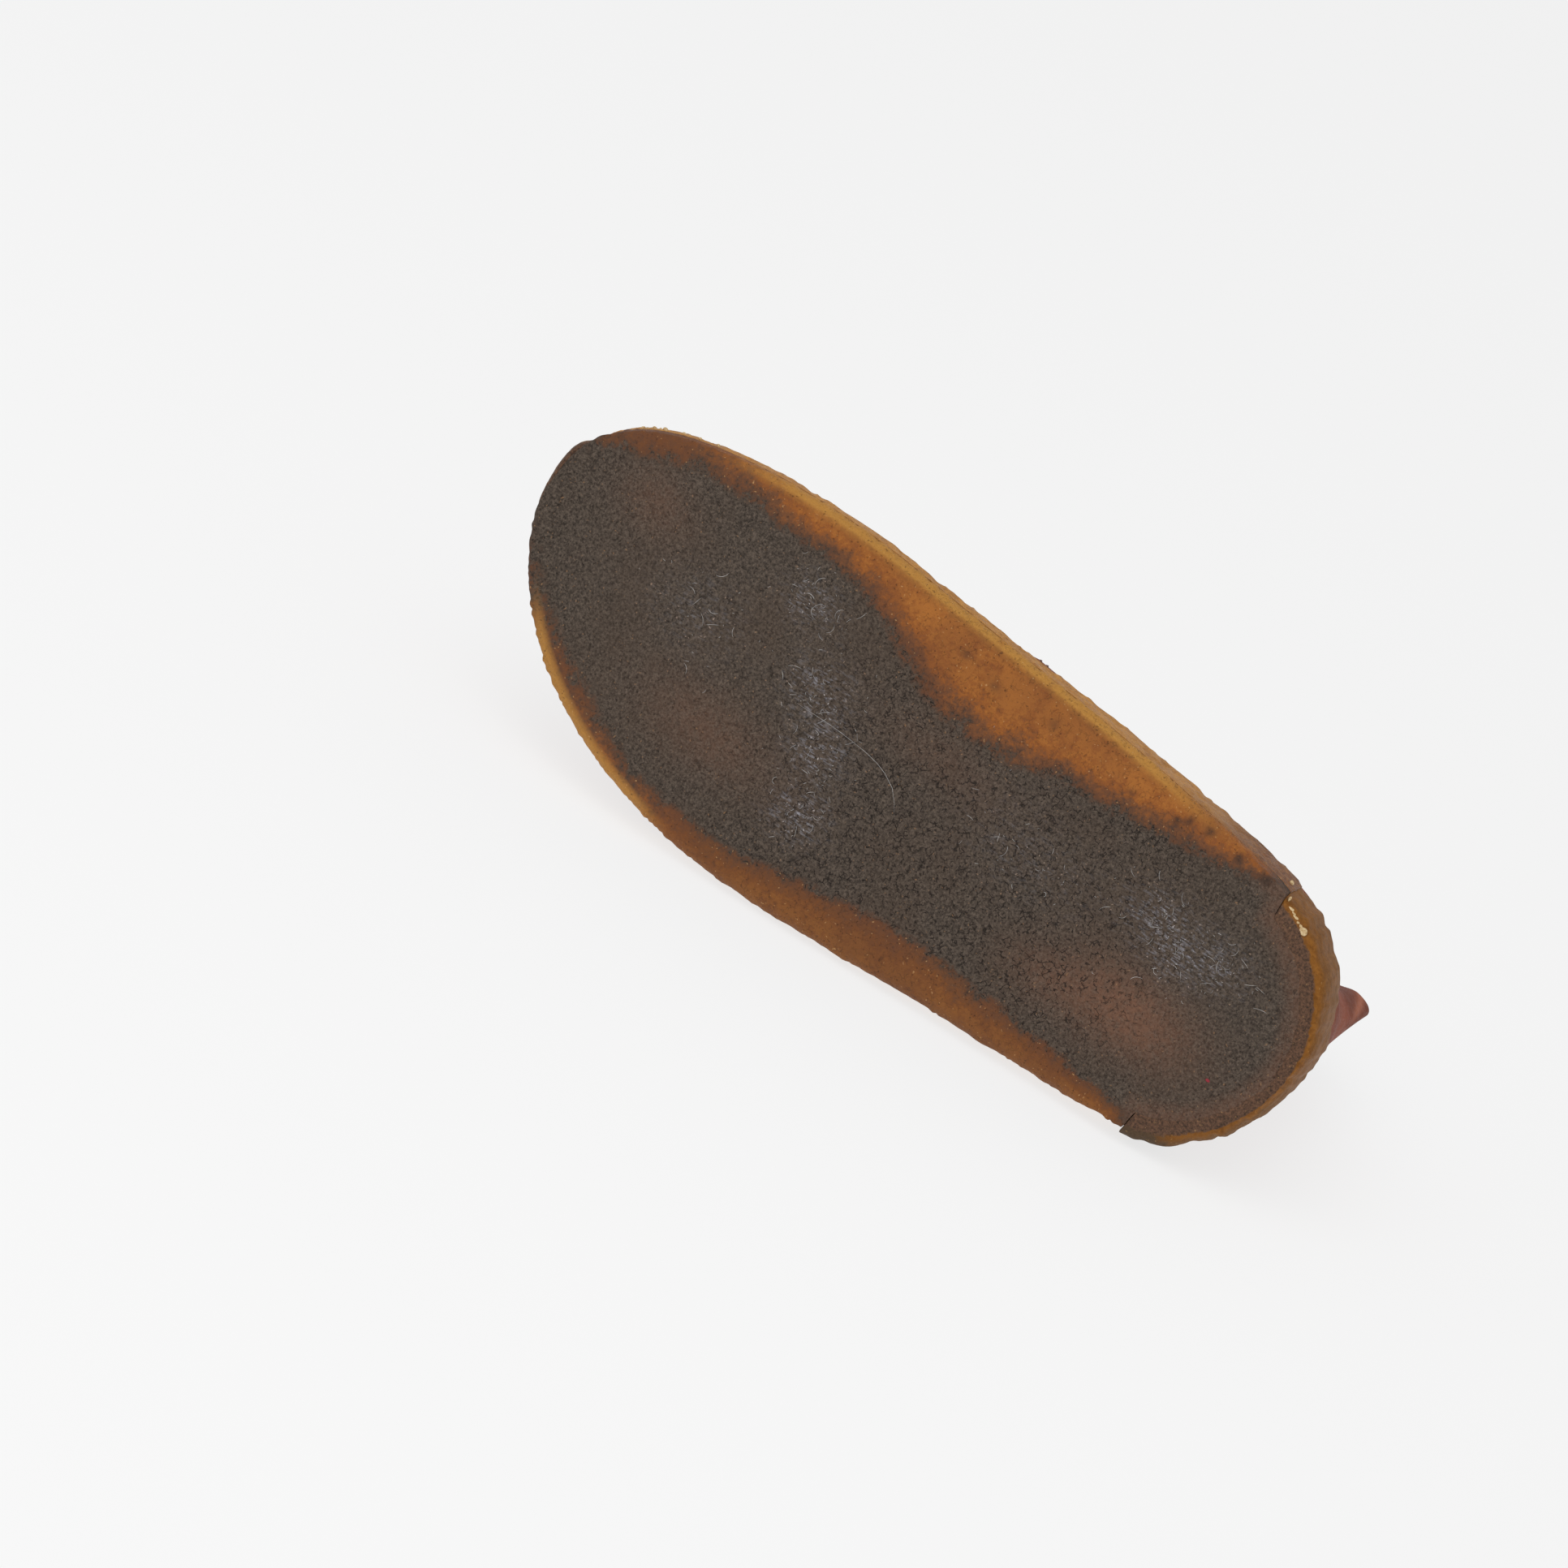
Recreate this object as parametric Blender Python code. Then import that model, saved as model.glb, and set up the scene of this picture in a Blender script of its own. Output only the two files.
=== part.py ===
"""Right ankle boot with a crepe sole, lying on its outer side.

The boot is worked out standing, in millimetres: x runs from the back of the heel to the toe, y towards the
inner side and z up from the tread. One empty then lays it on its outer side, so that the edge of the sole and
the collar rest on the floor at z = 0. The bow hangs and lies as it falls, so it is given as it lies.
"""

import math

import bmesh
import bpy
import numpy as np
from mathutils import Matrix, Vector

MM = 0.001
GAP = 0.3

# Sole.
LENGTH = 308.0
TREAD = 7.0
TOE_SPRING = 13.0
SPRING_FROM = 215.0
ARCH_LIFT = 1.8
ARCH_AT = 125.0
ARCH_REACH = 48.0
HEEL_BEVEL = 1.6
HEEL_BEVEL_TO = 20.0
HEEL_CENTRE = 46.5
HEEL_POWER = 1.92
TOE_FROM = 192.0
TOE_POWER = 2.15
EDGE_ROUND = 8.0
EDGE_RISE = 5.5
HEEL_EDGE = 2.5
CORE_INSET = 30.0
SOLE_COLUMNS = 38

# Strips glued round heel and toe.
WRAP = 7.2
WRAP_PROUD = 1.2
WRAP_GAP = 0.7
NOTCH_BACK = 37.5
NOTCH_FRONT = 38.7
BUMPER = 3.0
BUMPER_REACH = 0.0135
HEEL_END = WRAP + WRAP_PROUD
TOE_END = LENGTH - BUMPER

# Upper, insole and tongue.
WALL = 2.2
QUARTER = 1.3
SEAM_STEP = 0.012
INSOLE = 3.0
INSOLE_INSET = 3.4
TONGUE = 2.0
TONGUE_FOOT = 5.05
THROAT = 5.6
THROAT_HALF = 8.0
COLLAR_HALF = 11.5

# Lace.
LACE = 3.6
HOLE = 4.6
HOLE_INSET = 9.0
HOLE_ROWS = (6.25, 7.45, 8.6)
LACE_ROOM = 4.0
KNOT_SIZE = (9.0, 13.0, 8.5)

# Lying pose.
LEAN = 9.2
NOSE_UP = 4.9

# Sole seen from below: middle line and half width at each station.
PLAN_COLUMNS = ("x", "centre", "half_width")
PLAN = (
    (0.0, 0.5, 46.2),
    (40.0, 1.0, 47.0),
    (75.0, 1.4, 50.2),
    (110.0, 1.2, 53.2),
    (150.0, -0.2, 56.2),
    (185.0, -0.9, 58.4),
    (230.0, 0.9, 58.8),
    (265.0, 4.0, 58.8),
    (308.0, 12.0, 58.8),
)

# Thickness of the sole under the upper, and how far the upper stands in from the sole's edge.
SEAT_COLUMNS = ("x", "thickness", "inset")
SEAT = (
    (0.0, 25.0, 11.5),
    (45.0, 24.6, 11.2),
    (90.0, 22.2, 8.4),
    (140.0, 17.6, 6.6),
    (195.0, 14.4, 6.0),
    (308.0, 14.0, 6.0),
)

# Rings of the upper from the sole to the collar: where each meets the back line and the front line, how far it
# sags between them, its half widths and sideways shift, the place and roundness of its widest part, and how far
# it keeps to the plan of the sole and to the height of the sole's top. Towards the collar the empty shaft has
# sunk flat, so that its inner half is the narrower one, and behind it closes in a narrow nape.
RING_COLUMNS = (
    "back_x", "back_z", "front_x", "front_z", "sag", "inner", "outer", "shift", "widest", "back_power",
    "front_power", "plan_share", "plan_out", "seat_share", "nape",
)
RINGS = (
    (11.6, 0.6, 298.0, 0.6, 0.0, 52.0, 52.0, 0.0, 0.60, 2.1, 2.2, 1.00, 0.0, 1.0, 0.0),
    (9.4, 10.5, 300.6, 10.5, 0.0, 54.0, 54.0, 0.0, 0.60, 2.1, 2.2, 1.00, 2.2, 1.0, 0.0),
    (8.4, 22.0, 295.0, 23.0, 0.0, 50.0, 50.0, 0.0, 0.58, 2.3, 2.1, 0.90, 0.0, 1.0, 0.0),
    (8.6, 58.5, 273.0, 58.5, 4.5, 43.0, 43.0, 0.0, 0.52, 2.7, 2.0, 0.45, -6.0, 0.0, 0.0),
    (10.0, 70.0, 237.0, 63.5, 2.5, 39.5, 40.5, 0.3, 0.46, 2.5, 1.9, 0.15, -12.0, 0.0, 20.0),
    (11.3, 82.0, 204.0, 69.5, 1.0, 36.0, 39.0, 0.8, 0.42, 2.3, 1.85, 0.0, -16.0, 0.0, 14.5),
    (11.6, 93.0, 176.0, 81.0, 0.0, 32.5, 38.0, 1.6, 0.42, 2.1, 1.95, 0.0, -16.0, 0.0, 10.0),
    (11.5, 103.5, 153.0, 97.5, 1.0, 28.0, 37.0, 2.4, 0.47, 1.8, 2.1, 0.0, -16.0, 0.0, 7.0),
    (11.2, 114.0, 139.5, 114.5, 4.5, 23.5, 36.4, 3.2, 0.50, 1.45, 2.25, 0.0, -16.0, 0.0, 5.0),
    (11.0, 124.0, 132.0, 130.5, 9.0, 20.0, 36.0, 4.0, 0.52, 1.2, 2.4, 0.0, -16.0, 0.0, 3.4),
)
COLLAR = len(RINGS) - 1.0
NAPE_REACH = 0.1
NAPE_ENDS = 0.2
NAPE_DIP = 2.0
NAPE_THIN = 0.9

# Line where the quarters end on the vamp, as a place on each ring below the throat.
SEAM_COLUMNS = ("ring", "x")
SEAM = (
    (0, 148.0),
    (1, 149.0),
    (2, 151.5),
    (3, 156.0),
    (4, 163.0),
    (5, 173.0),
)

# Half width of the tongue along its length.
TONGUE_COLUMNS = ("ring", "half_width")
TONGUE_PLAN = (
    (5.05, 15.0),
    (7.0, 20.0),
    (9.0, 24.0),
    (9.3, 23.0),
    (9.5, 19.0),
)

# Section of each strip: distance out from the sole's side, and height.
STRIP_COLUMNS = ("out", "height")
WRAP_SECTION = (
    (GAP, 3.0),
    (1.5, 1.7),
    (5.4, 1.6),
    (7.4, 3.2),
    (8.4, 8.0),
    (8.4, 16.0),
    (7.8, 22.4),
    (6.2, 23.8),
    (GAP, 23.8),
)
BUMPER_SECTION = (
    (GAP, 4.4),
    (1.9, 3.9),
    (2.7, 5.6),
    (3.0, 9.0),
    (2.5, 12.4),
    (GAP, 12.8),
)

# Bow as it hangs from the knot and lies on the floor, in millimetres of the lying boot: the ways in which each
# strand leaves the knot and, for a loop, comes back to it, and the points that it passes between them.
BOW = {
    "lace_loop_inner": (
        (-0.90, -0.30, 0.30),
        ((-10.0, 57.5, 44.0), (-20.0, 56.5, 34.0), (-25.5, 58.0, 17.0), (-32.0, 61.5, 4.4), (-44.0, 64.5, 2.4),
         (-57.5, 61.5, 2.3), (-57.5, 49.5, 2.3), (-43.0, 46.0, 3.0), (-32.5, 46.0, 15.0), (-24.0, 48.0, 29.0),
         (-9.0, 52.5, 36.0)),
        (-0.80, -0.55, -0.30),
    ),
    "lace_end_inner": (
        (-0.75, 0.60, 0.05),
        ((-6.0, 74.0, 33.0), (-17.0, 81.0, 16.5), (-25.0, 86.0, 4.8), (-38.0, 92.0, 2.2), (-62.0, 97.0, 2.2)),
        None,
    ),
    "lace_loop_outer": (
        (-0.45, 0.75, -0.50),
        ((0.5, 80.0, 24.0), (-5.0, 91.0, 8.8), (-10.5, 101.0, 2.6), (-17.0, 114.0, 2.4), (-15.0, 127.0, 2.3),
         (-3.0, 127.5, 2.3), (1.5, 114.0, 2.3), (4.5, 100.5, 3.4), (7.0, 88.0, 17.0)),
        (-0.05, 0.75, -0.66),
    ),
    "lace_end_outer": (
        (0.55, 0.80, -0.15),
        ((20.0, 80.0, 30.0), (24.0, 90.0, 12.6), (28.0, 99.0, 3.6), (34.0, 112.0, 2.2), (44.0, 126.0, 2.2)),
        None,
    ),
}
LACE_SPACING = 8.0


def column(table, names, name):
    """One named column of a table as an array."""
    return np.array(table, float)[:, names.index(name)]


def through(places, values, at):
    """Smooth curve through the given values: cubic pieces whose slopes are those of the neighbours' chords."""
    slopes = np.gradient(values, places)
    at = np.clip(at, places[0], places[-1])
    i = np.clip(np.searchsorted(places, at, side="right") - 1, 0, len(places) - 2)
    width = places[i + 1] - places[i]
    t = (at - places[i]) / width
    rise = values[i + 1] - values[i]
    a = slopes[i] * width - rise
    b = rise - slopes[i + 1] * width
    return values[i] + t * rise + t * (1.0 - t) * ((1.0 - t) * a + t * b)


def step(low, high, at):
    """Smooth rise from 0 at low to 1 at high."""
    t = np.clip((np.asarray(at, float) - low) / (high - low), 0.0, 1.0)
    return t * t * (3.0 - 2.0 * t)


def rounded(share, power):
    """Height of a unit superellipse at a share of its half length, and 1 before its middle."""
    return (1.0 - np.clip(share, 0.0, 1.0) ** power) ** (1.0 / power)


def plan(x, name):
    return through(column(PLAN, PLAN_COLUMNS, "x"), column(PLAN, PLAN_COLUMNS, name), x)


def seat(x, name):
    return through(column(SEAT, SEAT_COLUMNS, "x"), column(SEAT, SEAT_COLUMNS, name), x)


def half_plan(x, heel_end, toe_end, inset):
    """Half width of an outline that closes roundly at both ends, moved in by an inset."""
    heel = rounded((HEEL_CENTRE - x) / (HEEL_CENTRE - heel_end), HEEL_POWER)
    toe = rounded((x - TOE_FROM) / (toe_end - TOE_FROM), TOE_POWER)
    return (plan(x, "half_width") - inset) * heel * toe


def toe_lift(x):
    """Lift of the whole sole where it turns up to the toe."""
    return TOE_SPRING * (np.clip(x - SPRING_FROM, 0.0, None) / (LENGTH - SPRING_FROM)) ** 2


def tread_height(ring):
    """Height of the tread: toe spring, a worn bevel behind the heel and the arch that never met the ground."""
    x, y = ring[:, 0], ring[:, 1]
    heel = HEEL_BEVEL * (np.clip(HEEL_BEVEL_TO - x, 0.0, None) / HEEL_BEVEL_TO) ** 2
    along = np.clip(1.0 - ((x - ARCH_AT) / ARCH_REACH) ** 2, 0.0, None)
    return toe_lift(x) + heel + ARCH_LIFT * along * step(4.0, 48.0, y)


def seat_height(x):
    """Top of the sole, where the upper stands on it."""
    return toe_lift(x) + seat(x, "thickness")


def sole_shares():
    """Places of the sole's columns as shares of its length, closer at the ends and at the heel notch."""
    even = 0.5 - 0.5 * np.cos(np.linspace(0.0, np.pi, SOLE_COLUMNS))
    notch = (np.array([NOTCH_BACK, NOTCH_FRONT]) - HEEL_END) / (TOE_END - HEEL_END)
    keep = [share for share in even if np.abs(share - notch).min() > 0.008]
    return np.sort(np.concatenate([keep, notch]))


def sole_ring(inset, shares, under_strip=False):
    """Outline of the sole moved in by an inset: back to front on the outer side, front to back on the inner."""
    x = HEEL_END + (TOE_END - HEEL_END) * shares
    rabbet = WRAP if under_strip else WRAP * (1.0 - step(NOTCH_BACK, NOTCH_FRONT, x))
    half = half_plan(x, HEEL_END, TOE_END, rabbet) * (1.0 - inset / plan(x, "half_width"))
    along = HEEL_END + inset + (TOE_END - HEEL_END - 2.0 * inset) * shares
    outer = np.stack([along, plan(x, "centre") - half], axis=1)
    inner = np.stack([along, plan(x, "centre") + half], axis=1)
    return np.concatenate([outer, inner[-2:0:-1]])


def with_height(ring, height):
    return np.column_stack([ring[:, :2], np.broadcast_to(height, len(ring))])


def ring_points(row, u, side):
    """One ring of the upper at places u, 0 at the back and 1 at the front."""
    ring = dict(zip(RING_COLUMNS, RINGS[row]))
    share = 0.5 - 0.5 * np.cos(np.pi * u)
    x = ring["back_x"] + (ring["front_x"] - ring["back_x"]) * share
    before = rounded((ring["widest"] - share) / ring["widest"], ring["back_power"])
    after = rounded((share - ring["widest"]) / (1.0 - ring["widest"]), ring["front_power"])
    widest = np.where(side > 0, ring["inner"], ring["outer"])
    nape = ring["nape"] * rounded((NAPE_REACH - share) / NAPE_REACH, 2.0)
    nape = nape - NAPE_DIP * step(0.4 * NAPE_REACH, NAPE_REACH, share)
    sunk = nape + (widest * before - nape) * step(NAPE_REACH, NAPE_ENDS, share)
    behind = np.where((side > 0) & (ring["nape"] > 0.0), sunk, widest * before)
    egg = np.where(share < ring["widest"], behind, widest * after)
    on_sole = share * LENGTH
    flat = half_plan(on_sole, 0.0, LENGTH, seat(on_sole, "inset") - ring["plan_out"])
    half = egg + (flat - egg) * ring["plan_share"]
    y = side * half + ring["shift"] + plan(on_sole, "centre") * min(1.0, 1.1 * ring["plan_share"])
    level = ring["back_z"] + (ring["front_z"] - ring["back_z"]) * share
    z = level - ring["sag"] * 4.0 * share * (1.0 - share) + ring["seat_share"] * seat_height(x)
    return np.stack([x, y, z], axis=-1)


def skin(u, v, side):
    """Point of the upper's outside: u from back to front, v from ring to ring, side 1 inner and -1 outer."""
    u, v, side = np.broadcast_arrays(np.asarray(u, float), np.asarray(v, float), np.asarray(side, float))
    rings = np.stack([ring_points(row, u, side) for row in range(len(RINGS))])
    last = len(RINGS) - 1
    low = np.clip(np.floor(v).astype(int), 0, last - 1)
    t = (v - low)[..., None]

    def pick(row):
        return np.take_along_axis(rings, np.clip(row, 0, last)[None, ..., None], axis=0)[0]

    here, there = pick(low), pick(low + 1)
    rise = there - here
    slope_here = np.where((low > 0)[..., None], (there - pick(low - 1)) / 2.0, rise)
    slope_there = np.where((low < last - 1)[..., None], (pick(low + 2) - here) / 2.0, rise)
    curve = here + t * rise + t * (1.0 - t) * ((1.0 - t) * (slope_here - rise) + t * (rise - slope_there))
    return np.where(t > 1.0, there + slope_there * (t - 1.0), curve)


def outward(u, v, side):
    """Unit normal of the upper's outside."""
    u, v, side = np.broadcast_arrays(np.asarray(u, float), np.asarray(v, float), np.asarray(side, float))
    e = 1e-4
    along = skin(np.clip(u + e, 0.0, 1.0), v, side) - skin(np.clip(u - e, 0.0, 1.0), v, side)
    up = skin(u, v + e, side) - skin(u, np.clip(v - e, 0.0, None), side)
    normal = np.cross(along, up) * -side[..., None]
    return normal / np.linalg.norm(normal, axis=-1, keepdims=True)


def off_skin(u, v, side, distance):
    """Point at a distance out from the upper's outside."""
    distance = np.broadcast_to(np.asarray(distance, float), np.shape(v))
    return skin(u, v, side) + outward(u, v, side) * distance[..., None]


def place_at(v, distance, side):
    """Place u on each ring at a distance from the front line, measured along the ring."""
    v, distance = np.broadcast_arrays(np.asarray(v, float), np.asarray(distance, float))
    u = np.linspace(1.0, 0.35, 160)
    places = []
    for ring, reach in zip(v.ravel(), distance.ravel()):
        points = skin(u, ring, side)
        run = np.cumsum(np.linalg.norm(np.diff(points, axis=0), axis=1))
        places.append(np.interp(reach, np.append(0.0, run), u))
    return np.reshape(places, v.shape)


def throat_half(v):
    """Half width of the throat from its foot to the collar."""
    return THROAT_HALF + (COLLAR_HALF - THROAT_HALF) * np.clip(v - THROAT, 0.0, None) / (COLLAR - THROAT)


def edge_place(v, side):
    """Place u of the seam between vamp and quarter and, above the throat's foot, of the quarter's front edge."""
    v = np.asarray(v, float)
    above = np.clip(v, THROAT, None)
    front = place_at(above, throat_half(above), side)
    places = []
    for row, x in SEAM:
        ring = dict(zip(RING_COLUMNS, RINGS[row]))
        share = (x - ring["back_x"]) / (ring["front_x"] - ring["back_x"])
        places.append(math.acos(1.0 - 2.0 * share) / math.pi)
    foot = place_at(THROAT, THROAT_HALF, side)
    rows = np.append(column(SEAM, SEAM_COLUMNS, "ring"), THROAT)
    below = through(rows, np.append(places, foot), np.clip(v, 0.0, THROAT))
    return np.where(v < THROAT, below, front)


def hole_place(v, side):
    """Place u of a lace hole on the quarter."""
    return float(place_at(v, throat_half(v) + HOLE_INSET, side))


def lying_matrix():
    """Turn of the boot from standing to lying: inner side up, tread towards -Y, toe towards -X."""
    lay = Matrix(((-1, 0, 0, 0), (0, 0, 1, 0), (0, 1, 0, 0), (0, 0, 0, 1)))
    lean = Matrix.Rotation(math.radians(-LEAN), 4, "X")
    nose = Matrix.Rotation(math.radians(NOSE_UP), 4, "Y")
    return lean @ nose @ lay


def material(name, colour, roughness):
    made = bpy.data.materials.new(name)
    made.use_nodes = True
    shader = made.node_tree.nodes["Principled BSDF"]
    shader.inputs["Base Color"].default_value = (*colour, 1.0)
    shader.inputs["Roughness"].default_value = roughness
    made.diffuse_color = (*colour, 1.0)
    return made


def mesh_object(name, points, faces, look):
    """Object of one closed mesh on the boot, in metres, with its faces turned outwards and shaded smooth."""
    mesh = bpy.data.meshes.new(name)
    mesh.from_pydata((np.asarray(points) * MM).tolist(), [], faces)
    shape = bmesh.new()
    shape.from_mesh(mesh)
    bmesh.ops.recalc_face_normals(shape, faces=shape.faces)
    shape.to_mesh(mesh)
    shape.free()
    mesh.shade_smooth()
    mesh.set_sharp_from_angle(angle=math.radians(40.0))
    mesh.materials.append(look)
    made = bpy.data.objects.new(name, mesh)
    boot.objects.link(made)
    made.parent = pose
    return made


def ladder(first, count):
    """Faces across a closed ring whose points face each other in pairs."""
    half = count // 2
    faces = [(first, first + 1, first + count - 1)]
    for i in range(1, half - 1):
        faces.append((first + i, first + i + 1, first + count - i - 1, first + count - i))
    faces.append((first + half - 1, first + half, first + half + 1))
    return faces


def between(rows, count):
    """Faces between neighbouring closed rings of count points."""
    faces = []
    for row in range(rows - 1):
        for i in range(count):
            j = (i + 1) % count
            faces.append((row * count + i, row * count + j, (row + 1) * count + j, (row + 1) * count + i))
    return faces


def stacked(name, rings, look):
    """Solid through a stack of paired rings, closed across the first and the last."""
    count = len(rings[0])
    faces = between(len(rings), count) + ladder(0, count) + ladder((len(rings) - 1) * count, count)
    return mesh_object(name, np.concatenate(rings), faces, look)


def swept(name, sections, look):
    """Solid through a row of like sections, each a closed loop, with both ends filled."""
    loop = len(sections[0])
    first, last = tuple(range(loop)), tuple(range((len(sections) - 1) * loop, len(sections) * loop))
    return mesh_object(name, np.concatenate(sections), between(len(sections), loop) + [first, last], look)


def shell(name, outer, inner, faces, look):
    """Solid between two skins with the same faces, its rims closed along every open edge."""
    used = sorted({corner for face in faces for corner in face})
    place = {corner: number for number, corner in enumerate(used)}
    faces = [tuple(place[corner] for corner in face) for face in faces]
    count = len(used)
    rim = set()
    for face in faces:
        for a, b in zip(face, face[1:] + face[:1]):
            if (b, a) in rim:
                rim.remove((b, a))
            else:
                rim.add((a, b))
    closed = faces + [tuple(count + corner for corner in reversed(face)) for face in faces]
    closed += [(b, a, count + a, count + b) for a, b in sorted(rim)]
    return mesh_object(name, np.concatenate([outer[used], inner[used]]), closed, look)


def make_outsole(look):
    """Flat tread, worn round edge, short side and flat top."""
    shares = sole_shares()
    edge, core = sole_ring(0.0, shares), sole_ring(CORE_INSET, shares)
    size = HEEL_EDGE + (EDGE_ROUND - HEEL_EDGE) * step(NOTCH_BACK, NOTCH_FRONT + 30.0, edge[:, 0])
    rings = []
    for inset in (CORE_INSET, 16.0):
        ring = sole_ring(inset, shares)
        rings.append(with_height(ring, tread_height(ring)))
    for angle in (0.0, 32.0, 62.0, 90.0):
        turn = math.radians(angle)
        ring = edge + (core - edge) * (size * (1.0 - math.sin(turn)) / CORE_INSET)[:, None]
        rise = EDGE_RISE * size / EDGE_ROUND * (1.0 - math.cos(turn))
        rings.append(with_height(ring, tread_height(ring) * (1.0 - 0.6 * angle / 90.0) + rise))
    rings += [with_height(ring, toe_lift(ring[:, 0]) + TREAD) for ring in (edge, core)]
    stacked("outsole", rings, look)


def make_midsole(look):
    """Wedge on the outsole with an upright side and an eased top edge."""
    shares = sole_shares()
    rings = []
    for inset, share, lift in ((CORE_INSET, 0.0, 0.0), (0.0, 0.0, 0.0), (0.0, 0.3, 0.0), (0.0, 1.0, -1.2),
                               (1.2, 1.0, 0.0), (8.0, 1.0, 0.0), (CORE_INSET, 1.0, 0.0)):
        ring = sole_ring(inset, shares)
        under = toe_lift(ring[:, 0]) + TREAD + GAP
        rings.append(with_height(ring, under + (seat_height(ring[:, 0]) - under) * share + lift))
    stacked("midsole", rings, look)


def seat_ring(inset):
    """Foot of the upper moved in by an inset, as one closed paired ring."""
    u = np.linspace(0.0, 1.0, 27)
    sides = []
    for side in (-1.0, 1.0):
        edge = skin(u, np.zeros_like(u), side)
        spine = np.clip(edge[:, 0], edge[0, 0] + 40.0, edge[-1, 0] - 50.0)
        away = np.stack([spine - edge[:, 0], plan(edge[:, 0], "centre") - edge[:, 1]], axis=1)
        reach = np.linalg.norm(away, axis=1, keepdims=True)
        sides.append(edge[:, :2] + away / reach * np.minimum(inset, 0.95 * reach))
    return np.concatenate([sides[0], sides[1][-2:0:-1]])


def make_insole(look):
    """Thin sheet over the sole, inside the upper."""
    rings = []
    for inset, height in ((24.0, 0.0), (INSOLE_INSET, 0.0), (INSOLE_INSET, INSOLE - 0.6),
                          (INSOLE_INSET + 0.8, INSOLE), (24.0, INSOLE)):
        ring = seat_ring(inset)
        rings.append(with_height(ring, seat_height(ring[:, 0]) + GAP + height))
    stacked("insole", rings, look)


def strip_point(out, share, side):
    """Point beside the sole at a distance out from its side."""
    ring = sole_ring(-out, np.array([0.0, share, 1.0]), under_strip=share < 0.5)
    return ring[1] if side < 0 else ring[3]


def make_heel_wrap(look):
    """Strip round the heel: one section swept between two blunt ends."""
    end = NOTCH_BACK - WRAP_GAP
    last = (end - HEEL_END) / (TOE_END - HEEL_END)
    shares = sole_shares()
    shares = np.append(shares[shares < last - 0.006], last)
    sections = []
    for side, share in [(-1, s) for s in shares[::-1]] + [(1, s) for s in shares[1:]]:
        section = []
        for out, height in WRAP_SECTION:
            blunt = (end - HEEL_END + out) / (TOE_END - HEEL_END + 2.0 * out)
            at = share if out == GAP and share < last else share * blunt / last
            section.append((*strip_point(out, at, side), height))
        sections.append(np.array(section))
    swept("heel_wrap", sections, look)


def make_toe_bumper(look):
    """Short strip at the tip of the toe."""
    shares = sole_shares()
    last = 1.0 - BUMPER_REACH
    shares = np.append(shares[shares > last + 0.001][::-1], last)
    sections = []
    for side, share in [(-1, s) for s in shares[::-1]] + [(1, s) for s in shares[1:]]:
        section = []
        for out, height in BUMPER_SECTION:
            x, y = strip_point(out, share, side)
            section.append((x, y, toe_lift(x) + height))
        sections.append(np.array(section))
    swept("toe_bumper", sections, look)


def make_upper(look):
    """One grid of columns from the front round the outer side to the back and on to the front again."""
    rows = np.concatenate([[0.0, 0.45, 1.0, 1.5, 2.0, 2.4, 2.75, 3.1, 3.5, 4.0, 4.5, 5.0, 5.3, THROAT],
                           np.arange(6.0, COLLAR + 0.1, 0.5)])
    vamp = np.linspace(0.0, 1.0, 9)
    quarter = np.append(SEAM_STEP, np.linspace(0.0, 1.0, 17)[1:])
    columns = [(-1.0, "vamp", f) for f in vamp] + [(-1.0, "quarter", f) for f in quarter]
    columns += [(1.0, "quarter", f) for f in quarter[-2::-1]] + [(1.0, "vamp", f) for f in vamp[:0:-1]]
    outer, inner = [], []
    for side, kind, f in columns:
        seam = edge_place(rows, side)
        u = 1.0 - f * (1.0 - seam) if kind == "vamp" else seam * (1.0 - f)
        outer.append(off_skin(u, rows, side, QUARTER if kind == "quarter" else 0.0))
        thin = NAPE_THIN * step(6.5, 8.5, rows) * (1.0 - step(0.1, 0.35, u))
        inner.append(off_skin(u, rows, side, thin - WALL))
    count = len(rows)
    faces = []
    for i, (side, kind, f) in enumerate(columns):
        j = (i + 1) % len(columns)
        in_throat = kind == "vamp" or columns[j][1] == "vamp"
        for row in range(count - 1):
            if rows[row] < THROAT or not in_throat:
                faces.append((i * count + row, i * count + row + 1, j * count + row + 1, j * count + row))
    upper = shell("upper", np.concatenate(outer), np.concatenate(inner), faces, look)
    for side in (-1.0, 1.0):
        for v in HOLE_ROWS:
            punch_hole(upper, v, side)


def punch_hole(upper, v, side):
    """Lace hole through the quarter, square to its surface."""
    u = hole_place(v, side)
    shape = bmesh.new()
    bmesh.ops.create_cone(shape, cap_ends=True, segments=12, radius1=HOLE / 2.0 * MM, radius2=HOLE / 2.0 * MM,
                          depth=14.0 * MM)
    mesh = bpy.data.meshes.new("punch")
    shape.to_mesh(mesh)
    shape.free()
    punch = bpy.data.objects.new("punch", mesh)
    cutters.objects.link(punch)
    punch.parent = pose
    punch.matrix_local = on_skin(u, v, side, 0.0)
    punch.display_type = "WIRE"
    punch.hide_render = True
    cut = upper.modifiers.new("lace hole", "BOOLEAN")
    cut.operation = "DIFFERENCE"
    cut.solver = "EXACT"
    cut.object = punch


def on_skin(u, v, side, lift):
    """Placement over the upper with its Z axis along the outward normal."""
    normal = Vector(outward(u, v, side).tolist())
    at = Vector((off_skin(u, v, side, lift) * MM).tolist())
    return Matrix.Translation(at) @ normal.to_track_quat("Z", "Y").to_matrix().to_4x4()


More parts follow.
